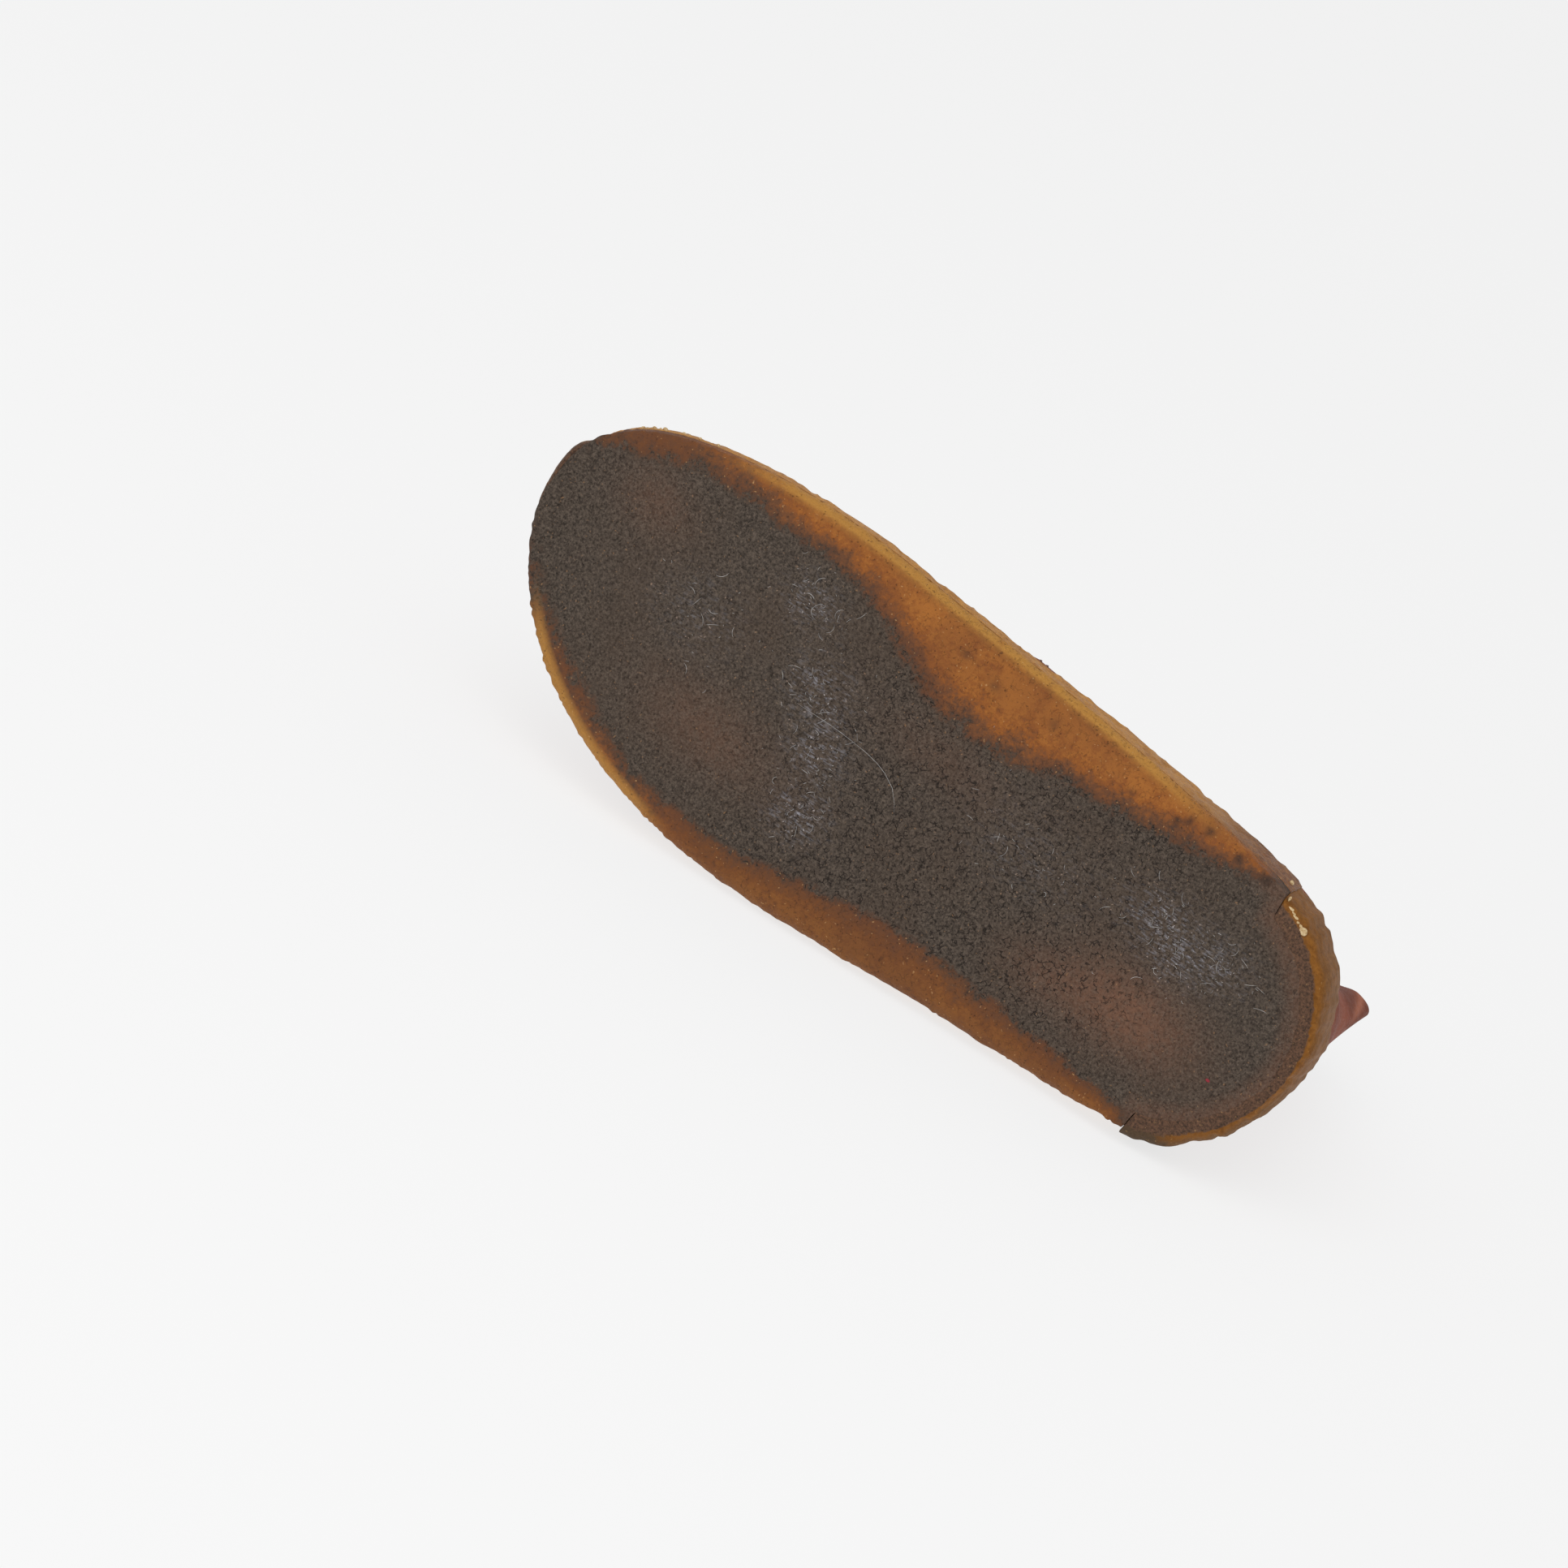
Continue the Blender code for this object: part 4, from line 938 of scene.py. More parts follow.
# %% Heel strip
HEEL_HEART = (46.0, 0.0, 12.0)
profile = fine_section(WRAP_SECTION, 60)
far, high = profile.T
way = np.linspace(-1.0, 1.0, 300)
round_heel = np.stack([way * 75.0, way * 0.0, way * 0.0], axis=-1)
wander = 0.55 * lumps(round_heel, 13.0, 34) + 0.4 * lumps(round_heel, 3.2, 35)
wander = wander - 1.4 * bell(way, -0.05, 0.4) + 2.0 * step(-0.6, -0.88, way)
proud = step(2.0, 6.0, far)
out = far + wander[:, None] * proud
end = NOTCH_BACK - 0.1 + (NOTCH_FRONT - NOTCH_BACK) * np.clip(out / WRAP, 0.0, 1.0)
blunt = (end - HEEL_END + out) / (SOLE_RUN + 2.0 * out)
x, y = sole_place((way ** 2)[:, None] * blunt, -out, np.sign(way)[:, None], under_strip=True)
lip = step(3.0, 0.0, far) * step(5.0, 2.0, high)
points = np.stack([x, y, high + lip * (tread_height(x, y) - 0.12)], axis=-1)
crumble = 0.16 * lumps(points, 2.1, 31) + 0.22 * lumps(points, 6.0, 32)
points = points + unit(points - HEEL_HEART) * (crumble * proud)[..., None]
add_strip(
    "heel_strip", points, "heel_wrap",
    rim=step(4.2, 6.6, far) * (0.5 + 0.5 * step(0.15, -0.5, way))[:, None],
    trod=step(5.0, 2.6, far) * step(6.0, 2.0, high),
    dark=(step(-0.7, -0.98, way) + 0.25 * step(-0.2, -0.6, way))[:, None] * (0.55 + 0.45 * proud),
)

# %% Toe strip
profile = fine_section(BUMPER_SECTION, 36)
far, high = profile.T
way = np.linspace(-1.0, 1.0, 90)
out = far * (1.0 - 0.9 * step(0.5, 1.0, np.abs(way)))[:, None]
x, y = sole_place(1.0 - BUMPER_REACH * (way ** 2)[:, None] * np.ones_like(out), -out, np.sign(way)[:, None])
points = np.stack([x, y, toe_lift(x) + high], axis=-1)
points[..., 0] += 0.35 * lumps(points, 2.0, 33) * step(0.8, 2.0, out)
add_strip("toe_strip", points, "toe_bumper", rim=0.6, dark=0.1, trod=0.8 * step(8.0, 4.5, high))

# %% [markdown]
# ## Crumbs and fibres
# Cream crumbs of old rubber cling to the joint of the heel strip, to the side wall beside it and to the
# edge of the toe, a red speck sits on the heel, and lint from the floor is felted into the tread. A crumb
# is a lumpy ball; a fibre is a thin hair that bends evenly as it runs. Both are real geometry, because they
# catch the light one by one.

# %% Crumbs
# Columns: x, y, height, half length, half width and kind, which is 0 for cream and 1 for red.
CRUMBS = (
    (40.9, 47.2, 14.0, 0.9, 1.4, 0), (27.8, 40.3, 1.2, 1.5, 1.3, 0), (29.5, 41.2, 1.3, 0.8, 0.7, 0),
    (37.1, 45.6, 2.9, 0.4, 1.2, 0), (34.9, 43.8, 1.5, 1.1, 0.45, 0), (33.4, 43.1, 1.4, 0.9, 0.4, 0),
    (32.3, 42.5, 1.3, 1.2, 0.5, 0), (30.6, 41.6, 1.2, 0.7, 0.4, 0), (25.0, -15.0, -0.1, 0.8, 0.5, 1),
)
# Columns: share of the sole's length and size.
TOE_CRUMBS = ((0.953, 0.9), (0.949, 0.6), (0.942, 1.0), (0.936, 0.7), (0.931, 1.2), (0.911, 0.9),
              (0.905, 0.6), (0.893, 0.8), (0.872, 0.8))


def flecked_look(name, dark, light, scale):
    """Matt finish that changes between two colours in small flecks."""
    start_look(name)
    flecks = noise(scale, 3.0, 0.6)
    colour = mix(between(flecks, 0.35, 0.65), dark, light)
    return finish_look(colour, share_of(flecks, -1.0, 1.0, 0.9), flecks, 0.0001)


cream_look = flecked_look("cream_crumb", (176, 142, 92), (222, 198, 154), 1500.0)
red_look = flecked_look("red_fluff", (116, 22, 34), (168, 44, 58), 2500.0)
balls = list(CRUMBS)
for share, size in TOE_CRUMBS:
    x, y = sole_place(np.array(share), -0.3, 1.0)
    balls.append((x, y, toe_lift(x) + 9.0, 0.8 * size, 0.6 * size, 0))
balls = np.array(balls, float)
tilt = np.linspace(0.0, np.pi, 11)[:, None]
spin = np.linspace(0.0, 2.0 * np.pi, 14, endpoint=False)
ball = np.broadcast_arrays(np.sin(tilt) * np.cos(spin), np.sin(tilt) * np.sin(spin), np.cos(tilt))
ball = np.stack(ball, axis=-1)
sizes = np.stack([balls[:, 3], balls[:, 4], 0.55 * balls[:, 4]], axis=-1)
points = balls[:, None, None, :3] + ball * sizes[:, None, None]
points = points + ball * (0.25 * lumps(points, 0.7, 36) * balls[:, 4, None, None])[..., None]
points, faces = joined(points)
kinds = np.repeat(balls[:, 5].astype(int), len(faces) // len(balls))
add_piece("sole_crumbs", lying(points), faces, [cream_look, red_look], kinds=kinds)

# %% Fibres
LONG_HAIR = ((199.0, 2.4), (180.0, 3.4), (165.0, 2.2), (157.0, -1.7), (152.0, -8.7))
FIBRES, STATIONS, HAIR_SIDES = 300, 12, 4
fibre_look = flecked_look("lint_fibre", (140, 137, 136), (216, 213, 210), 300.0)
rng = np.random.default_rng(81)
home = np.array(LINT_SPOTS)[rng.integers(0, len(LINT_SPOTS), FIBRES)]
middle = home[:, :2] + rng.normal(0.0, 0.75, (FIBRES, 2)) * home[:, 2:4]
t = np.linspace(-0.5, 0.5, STATIONS)
heading = rng.uniform(0.0, np.pi, FIBRES)[:, None] + rng.normal(0.0, 1.3, FIBRES)[:, None] * t
stride = (0.6 + 4.5 * rng.uniform(0.0, 1.0, FIBRES) ** 3)[:, None] / (STATIONS - 1)
flat = np.cumsum(np.stack([np.cos(heading), np.sin(heading)], axis=-1) * stride[..., None], axis=1)
flat = flat - flat.mean(axis=1, keepdims=True) + middle[:, None]
hair = smooth_route(np.column_stack([LONG_HAIR, np.zeros(len(LONG_HAIR))]), 1.0)
hair = hair[np.linspace(0, len(hair) - 1, STATIONS).astype(int), :2]
flat = np.concatenate([flat, hair[None]])
stand = np.append(rng.uniform(0.1, 0.7, FIBRES), 0.25)[:, None] * (1.0 - 4.0 * t ** 2)
spine = np.concatenate([flat, (tread_height(flat[..., 0], flat[..., 1]) - 0.2 - stand)[..., None]], axis=-1)
along = unit(np.gradient(spine, axis=1))
across = unit(np.cross(along, (0.0, 0.0, 1.0)))
thick = 0.05 * np.sqrt(np.clip(1.0 - (2.0 * t) ** 4, 0.0, 1.0))[:, None]
angle = np.linspace(0.0, 2.0 * np.pi, HAIR_SIDES, endpoint=False)
points, faces = joined(swept(spine, across, np.cross(along, across), thick, angle))
add_piece("sole_lint", lying(points), faces, [fibre_look])

# %% [markdown]
# ## The upper's surface
# The upper is a stack of rings from the sole to the collar. Each ring is an egg seen from above, and a
# smooth curve runs from ring to ring, so any place on the leather is a pair of numbers: u from back to
# front, v from ring to ring.

# %% Upper surface
WALL, QUARTER = 2.2, 1.3
THROAT, THROAT_HALF, COLLAR_HALF = 5.6, 8.0, 11.5
HOLE, HOLE_INSET, HOLE_ROWS = 4.6, 9.0, (6.25, 7.45, 8.6)
RING_COLUMNS = ("back_x", "back_z", "front_x", "front_z", "sag", "inner", "outer", "shift", "widest",
                "back_power", "front_power", "plan_share", "plan_out", "seat_share", "nape")
RINGS = (
    (11.6, 0.6, 298.0, 0.6, 0.0, 52.0, 52.0, 0.0, 0.60, 2.1, 2.2, 1.00, 0.0, 1.0, 0.0),
    (9.4, 10.5, 300.6, 10.5, 0.0, 54.0, 54.0, 0.0, 0.60, 2.1, 2.2, 1.00, 2.2, 1.0, 0.0),
    (8.4, 22.0, 295.0, 23.0, 0.0, 50.0, 50.0, 0.0, 0.58, 2.3, 2.1, 0.90, 0.0, 1.0, 0.0),
    (8.6, 58.5, 273.0, 58.5, 4.5, 43.0, 43.0, 0.0, 0.52, 2.7, 2.0, 0.45, -6.0, 0.0, 0.0),
    (10.0, 70.0, 237.0, 63.5, 2.5, 39.5, 40.5, 0.3, 0.46, 2.5, 1.9, 0.15, -12.0, 0.0, 20.0),
    (11.3, 82.0, 204.0, 69.5, 1.0, 36.0, 39.0, 0.8, 0.42, 2.3, 1.85, 0.0, -16.0, 0.0, 14.5),
    (11.6, 93.0, 176.0, 81.0, 0.0, 32.5, 38.0, 1.6, 0.42, 2.1, 1.95, 0.0, -16.0, 0.0, 10.0),
    (11.5, 103.5, 153.0, 97.5, 1.0, 28.0, 37.0, 2.4, 0.47, 1.8, 2.1, 0.0, -16.0, 0.0, 7.0),
    (11.2, 114.0, 139.5, 114.5, 4.5, 23.5, 36.4, 3.2, 0.50, 1.45, 2.25, 0.0, -16.0, 0.0, 5.0),
    (11.0, 124.0, 132.0, 130.5, 9.0, 20.0, 36.0, 4.0, 0.52, 1.2, 2.4, 0.0, -16.0, 0.0, 3.4),
)
COLLAR = len(RINGS) - 1.0
NAPE_REACH, NAPE_ENDS, NAPE_DIP, NAPE_THIN = 0.1, 0.2, 2.0, 0.9
# Columns: ring and x of the seam between quarter and vamp.
SEAM = ((0, 148.0), (1, 149.0), (2, 151.5), (3, 156.0), (4, 163.0), (5, 173.0))


def ring_points(row, u, side):
    """One ring at places u: a half egg on each side, blended towards the outline of the sole low down."""
    ring = dict(zip(RING_COLUMNS, RINGS[row]))
    share = 0.5 - 0.5 * np.cos(np.pi * u)
    x = ring["back_x"] + (ring["front_x"] - ring["back_x"]) * share
    before = rounded((ring["widest"] - share) / ring["widest"], ring["back_power"])
    after = rounded((share - ring["widest"]) / (1.0 - ring["widest"]), ring["front_power"])
    widest = np.where(side > 0, ring["inner"], ring["outer"])
    nape = ring["nape"] * rounded((NAPE_REACH - share) / NAPE_REACH, 2.0)
    nape = nape - NAPE_DIP * step(0.4 * NAPE_REACH, NAPE_REACH, share)
    sunk = nape + (widest * before - nape) * step(NAPE_REACH, NAPE_ENDS, share)
    behind = np.where((side > 0) & (ring["nape"] > 0.0), sunk, widest * before)
    egg = np.where(share < ring["widest"], behind, widest * after)
    on_sole = share * LENGTH
    foot = half_plan(on_sole, 0.0, LENGTH, seat(on_sole, 2) - ring["plan_out"])
    half = egg + (foot - egg) * ring["plan_share"]
    y = side * half + ring["shift"] + centre(on_sole) * min(1.0, 1.1 * ring["plan_share"])
    level = ring["back_z"] + (ring["front_z"] - ring["back_z"]) * share
    z = level - ring["sag"] * 4.0 * share * (1.0 - share) + ring["seat_share"] * seat_height(x)
    return np.stack([x, y, z], axis=-1)


def skin(u, v, side):
    """Point of the leather's outside: a cubic curve through the four nearest rings at the same u."""
    u, v, side = np.broadcast_arrays(np.asarray(u, float), np.asarray(v, float), np.asarray(side, float))
    rings = np.stack([ring_points(row, u, side) for row in range(len(RINGS))])
    end = len(RINGS) - 1
    low = np.clip(np.floor(v).astype(int), 0, end - 1)
    t = (v - low)[..., None]

    def pick(row):
        """The ring that each point asks for."""
        return np.take_along_axis(rings, np.clip(row, 0, end)[None, ..., None], axis=0)[0]

    here, there = pick(low), pick(low + 1)
    rise = there - here
    slope_here = np.where((low > 0)[..., None], (there - pick(low - 1)) / 2.0, rise)
    slope_there = np.where((low < end - 1)[..., None], (pick(low + 2) - here) / 2.0, rise)
    curve = here + t * rise + t * (1.0 - t) * ((1.0 - t) * (slope_here - rise) + t * (rise - slope_there))
    return np.where(t > 1.0, there + slope_there * (t - 1.0), curve)


def outward(u, v, side):
    """Unit normal of the leather's outside, from two small steps."""
    u, v, side = np.broadcast_arrays(np.asarray(u, float), np.asarray(v, float), np.asarray(side, float))
    e = 1e-4
    along = skin(np.clip(u + e, 0.0, 1.0), v, side) - skin(np.clip(u - e, 0.0, 1.0), v, side)
    rise = skin(u, v + e, side) - skin(u, np.clip(v - e, 0.0, None), side)
    return unit(np.cross(along, rise) * -side[..., None])


def off_skin(u, v, side, lift):
    """Point at a distance out from the leather."""
    return skin(u, v, side) + outward(u, v, side) * np.asarray(lift, float)[..., None]


def place_at(v, reach, side):
    """Place u on each ring at a distance from the front line, measured along the ring."""
    v, reach = np.broadcast_arrays(np.asarray(v, float), np.asarray(reach, float))
    u = np.linspace(1.0, 0.35, 160)
    points = skin(u[:, None], v.ravel()[None, :], side)
    run = np.cumsum(np.linalg.norm(np.diff(points, axis=0), axis=-1), axis=0)
    run = np.concatenate([np.zeros((1, run.shape[1])), run])
    return np.array([np.interp(far, steps, u) for far, steps in zip(reach.ravel(), run.T)]).reshape(v.shape)


def throat_half(v):
    """Half width of the throat from its foot to the collar."""
    return THROAT_HALF + (COLLAR_HALF - THROAT_HALF) * np.clip(v - THROAT, 0.0, None) / (COLLAR - THROAT)


def edge_place(v, side):
    """Place u of the quarter's front edge: the seam on the vamp, and the edge of the throat above it."""
    v = np.asarray(v, float)
    above = np.clip(v, THROAT, None)
    front = place_at(above, throat_half(above), side)
    places = [math.acos(1.0 - 2.0 * (x - RINGS[row][0]) / (RINGS[row][2] - RINGS[row][0])) / math.pi
              for row, x in SEAM]
    foot = float(place_at(THROAT, THROAT_HALF, side))
    below = through([row for row, _ in SEAM] + [THROAT], places + [foot], np.clip(v, 0.0, THROAT))
    return np.where(v < THROAT, below, front)


print("collar back corner", skin(0.0, COLLAR, 1.0).round(1))

# %% [markdown]
# ## Brown leather
# The upper is smooth reddish-brown leather with a soft gloss, darker along its cut edges and rubbed paler on
# its ridges. Painted shade darkens its creases and the back of its collar, which also carries a painted
# highlight. The inside is paler and matt.

# %% Upper finishes
start_look("brown_leather")
grain = use_group("leather_grain", Scale=900.0)
colour = layered(
    mix(between(grain["Mottle"], 0.3, 0.7), (120, 56, 33), (146, 74, 46)),
    (share_of(grain["Wrinkle"], 0.5, 0.75, 0.35), (88, 40, 24)),
    # fold mark: painted shade in the crease troughs and over the back of the collar
    (times(mark("fold"), 0.42), (68, 31, 20)),
    # rub mark: rubbed paler ridges of the creases, and a painted highlight along the collar's back corner
    (times(mark("rub_and_highlight"), 0.5), (180, 110, 82)),
)
height = scaled(grain["Pebble"], 0.35, grain["Wrinkle"])
leather_look = finish_look(colour, scaled(grain["Wrinkle"], 0.3, 0.3), height, 0.00035, specular=0.035)

lining_look = plain_leather("upper_lining", 1100.0, (122, 84, 56), (158, 116, 80), (0.2, 0.7), 0.0002)

start_look("cut_leather_edge")
grain = use_group("leather_grain", Scale=1600.0)
colour = mix(between(grain["Wrinkle"], 0.3, 0.7), (52, 24, 20), (86, 46, 36))
cut_look = finish_look(colour, scaled(grain["Mottle"], 0.2, 0.6), grain["Pebble"], 0.0002)

# %% [markdown]
# ## The upper
# One sheet runs from the front round the outer side to the back and on round the inner side. The quarters
# lie on the vamp with a cut edge. Creases are listed: lines across the toe break and folds round
# the ankle, each a soft trough with a low ridge on both sides. The lace holes are opened in the grid
# itself: the faces inside each hole are left out and the points round it are moved on to its circle.

# %% Upper creases
# Columns: x, bow, slant, depth and width.
TOE_BREAKS = ((236.0, 0.004, 0.10, 0.7, 3.0), (224.0, 0.007, -0.06, 1.3, 3.6), (212.0, 0.008, 0.05, 0.9, 3.0),
              (199.0, 0.010, -0.04, 1.2, 4.0), (188.0, 0.010, 0.08, 0.6, 3.2))
# Columns: side, x and z of both ends, depth and width.
ANKLE_FOLDS = (
    (1.0, 152.0, 84.0, 92.0, 62.0, 1.5, 5.0), (1.0, 140.0, 97.0, 70.0, 88.0, 1.8, 6.0),
    (1.0, 118.0, 112.0, 48.0, 106.0, 1.3, 5.5), (1.0, 20.0, 78.0, 58.0, 70.0, 1.0, 4.5),
    (-1.0, 150.0, 80.0, 88.0, 60.0, 1.4, 5.0), (-1.0, 138.0, 95.0, 66.0, 84.0, 1.6, 6.0),
    (-1.0, 22.0, 92.0, 66.0, 80.0, 1.2, 5.0), (-1.0, 112.0, 110.0, 56.0, 102.0, 1.0, 5.0),
)


def trough(distance, width):
    """Profile of a crease: a bell-shaped trough with a low ridge on both sides."""
    t = distance / width
    return 0.45 * bell(np.abs(t), 1.7, 0.7) - bell(t, 0.0, 1.0)


def creases(points, side, v):
    """Toe breaks, which cross the vamp in bows, and slanted ankle folds; none at the sole or the collar."""
    x, y, z = points[..., 0], points[..., 1], points[..., 2]
    total = np.zeros_like(x)
    wobble = 1.6 * lumps(points, 14.0, 41)
    for at, bow, slant, depth, width in TOE_BREAKS:
        bowed = x - at + bow * (y - 3.0) ** 2 + slant * y + wobble
        total += depth * step(24.0, 42.0, z) * trough(bowed, width)
    for one, x0, z0, x1, z1, depth, width in ANKLE_FOLDS:
        run = math.hypot(x1 - x0, z1 - z0)
        along = ((x - x0) * (x1 - x0) + (z - z0) * (z1 - z0)) / run ** 2
        off = ((x - x0) * (z1 - z0) - (z - z0) * (x1 - x0)) / run + 5.0 * (along - 0.5) ** 2 + wobble
        total += depth * span(along, -0.1, 0.25, 0.7, 1.1) * (side == one) * trough(off, width)
    return total * span(v, 0.6, 1.6, 8.3, 8.9)


# %% Upper grid
rows = np.concatenate([
    np.linspace(0.0, 2.0, 24)[:-1], np.linspace(2.0, THROAT, 62)[:-1], np.linspace(THROAT, COLLAR, 88)
])
THROAT_ROW = int(np.argmin(np.abs(rows - THROAT)))
vamp = np.linspace(0.0, 1.0, 62)
quarter = np.concatenate([[0.0, 0.0, 0.006], np.linspace(0.014, 0.17, 24), np.linspace(0.17, 1.0, 76)[1:]])
lift = np.concatenate([[0.25, 1.0], np.full(len(quarter) - 2, QUARTER)])
part = np.concatenate([vamp, quarter, quarter[-2::-1], vamp[:0:-1]])[:, None]
lift = np.concatenate([vamp * 0.0, lift, lift[-2::-1], vamp[1:] * 0.0])[:, None]
behind = np.repeat([False, True, False], [len(vamp), 2 * len(quarter) - 1, len(vamp) - 1])
halves = (len(vamp) + len(quarter), len(vamp) + len(quarter) - 2)
side = np.repeat([-1.0, 1.0], halves)[:, None] * np.ones(len(rows))
seam = np.where(side < 0.0, edge_place(rows, -1.0), edge_place(rows, 1.0))
u = np.where(behind[:, None], seam * (1.0 - part), 1.0 - part * (1.0 - seam))
v = np.broadcast_to(rows, u.shape).copy()

faces = grid_faces(len(part) + 1, len(rows)) % u.size
open_throat = ((faces % len(rows)).min(axis=1) >= THROAT_ROW) & ~behind[faces // len(rows)].all(axis=1)
faces = faces[~open_throat]


def open_hole(faces, at_v, one):
    """Leave out the faces inside one hole and move the points round it on to its circle."""
    at_u = float(place_at(at_v, throat_half(at_v) + HOLE_INSET, one))
    e = 1e-3
    along = (skin(at_u + e, at_v, one) - skin(at_u - e, at_v, one)) / (2.0 * e)
    rise = (skin(at_u, at_v + e, one) - skin(at_u, at_v - e, one)) / (2.0 * e)
    axes = np.stack([unit(along), unit(rise - unit(along) * (rise @ unit(along)))])
    to_mm = np.stack([axes @ along, axes @ rise], axis=1)
    offset = np.stack([u - at_u, v - at_v], axis=-1) @ to_mm.T
    far = np.linalg.norm(offset, axis=-1)
    far = np.where((side == one) & behind[:, None], far, 1e3)
    inside = (far < HOLE / 2.0).ravel()
    cut = inside[faces].any(axis=1)
    rim = np.zeros(inside.shape, bool)
    rim[faces[cut].ravel()] = True
    rim = (rim & ~inside).reshape(u.shape)
    moved = (offset / np.maximum(far, 1e-6)[..., None] * HOLE / 2.0) @ np.linalg.inv(to_mm).T
    u[rim], v[rim] = at_u + moved[rim][:, 0], at_v + moved[rim][:, 1]
    return faces[~cut]


for one in (-1.0, 1.0):
    for at_v in HOLE_ROWS:
        faces = open_hole(faces, at_v, one)
print("upper grid", u.shape, "faces", len(faces))

# %% [markdown]
# The outside of the upper stands off its surface by the quarter's thickness and the creases, and the inside
# lies a wall's thickness under it. On the back line, where the hide folds tightly, the two sides' normals
# are averaged a little way off the line. The collar's back corner is thinner and carries painted shade and
# one painted highlight; the crease troughs carry painted shade too.

# %% Upper mesh
BACK_STEP = 0.004


def shell(outer, inner, faces):
    """Two skins of one sheet and the rims that join their open edges, as points, faces and kinds of face."""
    count = outer[..., 0].size
    edges = np.stack([faces, np.roll(faces, -1, axis=1)], axis=-1).reshape(-1, 2)
    _, first, uses = np.unique(np.sort(edges, axis=1), axis=0, return_index=True, return_counts=True)
    rim = edges[first[uses == 1]]
    sides = np.stack([rim[:, 1], rim[:, 0], rim[:, 0] + count, rim[:, 1] + count], axis=1)
    kinds = np.repeat([0, 1, 2], [len(faces), len(faces), len(sides)])
    points = np.concatenate([outer.reshape(-1, 3), inner.reshape(-1, 3)])
    return points, np.concatenate([faces, faces[:, ::-1] + count, sides]), kinds


points, normals = skin(u, v, side), outward(u, v, side)
back = behind & (part[:, 0] == 1.0)
beside = u[back] + BACK_STEP
normals[back] = unit(outward(beside, v[back], -1.0) + outward(beside, v[back], 1.0))
near_edge = step(0.0, 0.06, np.where(behind[:, None], part, 1.0))
fold = creases(points, side, v) * np.where(v > THROAT - 0.3, near_edge, 1.0)
soft = 0.35 * lumps(points, 22.0, 42) * step(0.5, 1.5, v)
thin = NAPE_THIN * step(6.5, 8.5, v) * (1.0 - step(0.1, 0.35, u))
outer = points + normals * (lift + fold + soft)[..., None]
inner = points + normals * (thin - WALL + fold + soft)[..., None]
# painted highlight: a pale streak along the collar's back corner on the inner side
painted_highlight = bell(u - 0.042 * v, -0.26, 0.03) * step(6.6, 7.6, v) * (side > 0.0)
# painted shade over the back of the collar, put into the fold mark with the painted shade of the crease
# troughs
shade = step(6.2, 7.2, v) * step(0.3, 0.14, u)
marks = {
    "fold": np.clip(-fold, 0.0, 1.5) / 1.5 + 0.8 * shade,
    "rub_and_highlight": 0.8 * np.clip(fold, 0.0, 0.8) + 1.5 * painted_highlight,
}
points, faces, kinds = shell(outer, inner, faces)
used, faces = np.unique(faces, return_inverse=True)
marks = {key: np.tile(value.ravel(), 2)[used] for key, value in marks.items()}
add_piece("upper_leather", lying(points[used]), faces.reshape(-1, 4), [leather_look, lining_look, cut_look],
          ["upper"], marks, kinds)

# %% [markdown]
# ## Stitching
# Two rows of stitches hold each quarter to the vamp and one row runs up each side of the throat. A stitch
# is a short thread that dips at both ends. All of them are one small shape, copied along the rows as an
# array.

# %% Stitches
STITCH, STITCH_STEP, THREAD = 2.3, 3.0, 0.55
SEAM_ROWS, THROAT_EDGE = (2.2, 4.8), 2.6
start_look("waxed_thread")
twist = noise(2600.0)
thread_look = finish_look(mix(twist, (70, 40, 28), (112, 70, 48)), scaled(twist, 0.3, 0.5), twist, 0.00008)


def stitch_row(u, v, side):
    """Stitches along a line on the leather: bowed spindles at even steps on its normals."""
    normals = outward(u, v, side)
    line = skin(u, v, side) + normals * QUARTER
    line = line + normals * creases(line, side, v)[..., None]
    run = run_along(line)
    stops = np.arange(STITCH_STEP, run[-1] - STITCH_STEP, STITCH_STEP)
    at = read_off(stops, run, line)
    way = unit(read_off(stops, run, np.gradient(line, axis=0)))
    rise = read_off(stops, run, normals)
    rise = unit(rise - way * (rise * way).sum(axis=1, keepdims=True))
    t = np.linspace(-1.0, 1.0, 7)[:, None]
    angle = np.linspace(0.0, 2.0 * np.pi, 6, endpoint=False)
    radius = 0.5 * THREAD * np.sqrt(np.clip(1.0 - 0.98 * t ** 4, 0.0, 1.0)) * (np.abs(t) < 1.0)
    bow = 0.30 * THREAD * (1.0 - t ** 2) - 0.15 * THREAD
    spine = at[:, None] + way[:, None] * (t * STITCH / 2.0) + rise[:, None] * bow
    return swept(spine, np.cross(way, rise)[:, None], rise[:, None], radius, angle)


stitches = []
for one in (-1.0, 1.0):
    low = np.linspace(0.55, THROAT - 0.15, 260)
    edge = edge_place(low, one)
    per_place = np.linalg.norm(skin(edge - 0.01, low, one) - skin(edge, low, one), axis=1) / 0.01
    for inset in SEAM_ROWS:
        stitches.append(stitch_row(edge - inset / per_place, low, one))
    high = np.linspace(THROAT - 0.1, COLLAR - 0.06, 220)
    stitches.append(stitch_row(place_at(high, throat_half(high) + THROAT_EDGE, one), high, one))
points, faces = joined(np.concatenate(stitches))
add_piece("stitching", lying(points), faces, [thread_look])

# %% [markdown]
# ## Tongue and sock
# The tongue is a soft sheet under the throat, with two skins like the upper. The sock is a thin sheet over
# the sole inside the boot: rings of the upper's foot, moved in step by step from its edge to the middle
# line.

# %% Tongue
TONGUE, LACE_ROOM = 2.0, 4.0
# Columns: ring and half width.
TONGUE_PLAN = np.array(((5.05, 15.0), (7.0, 20.0), (9.0, 24.0), (9.3, 23.0), (9.5, 19.0)))
tongue_look = plain_leather("tongue_leather", 900.0, (86, 36, 30), (120, 56, 44), (0.3, 0.36), 0.0004, 0.4)

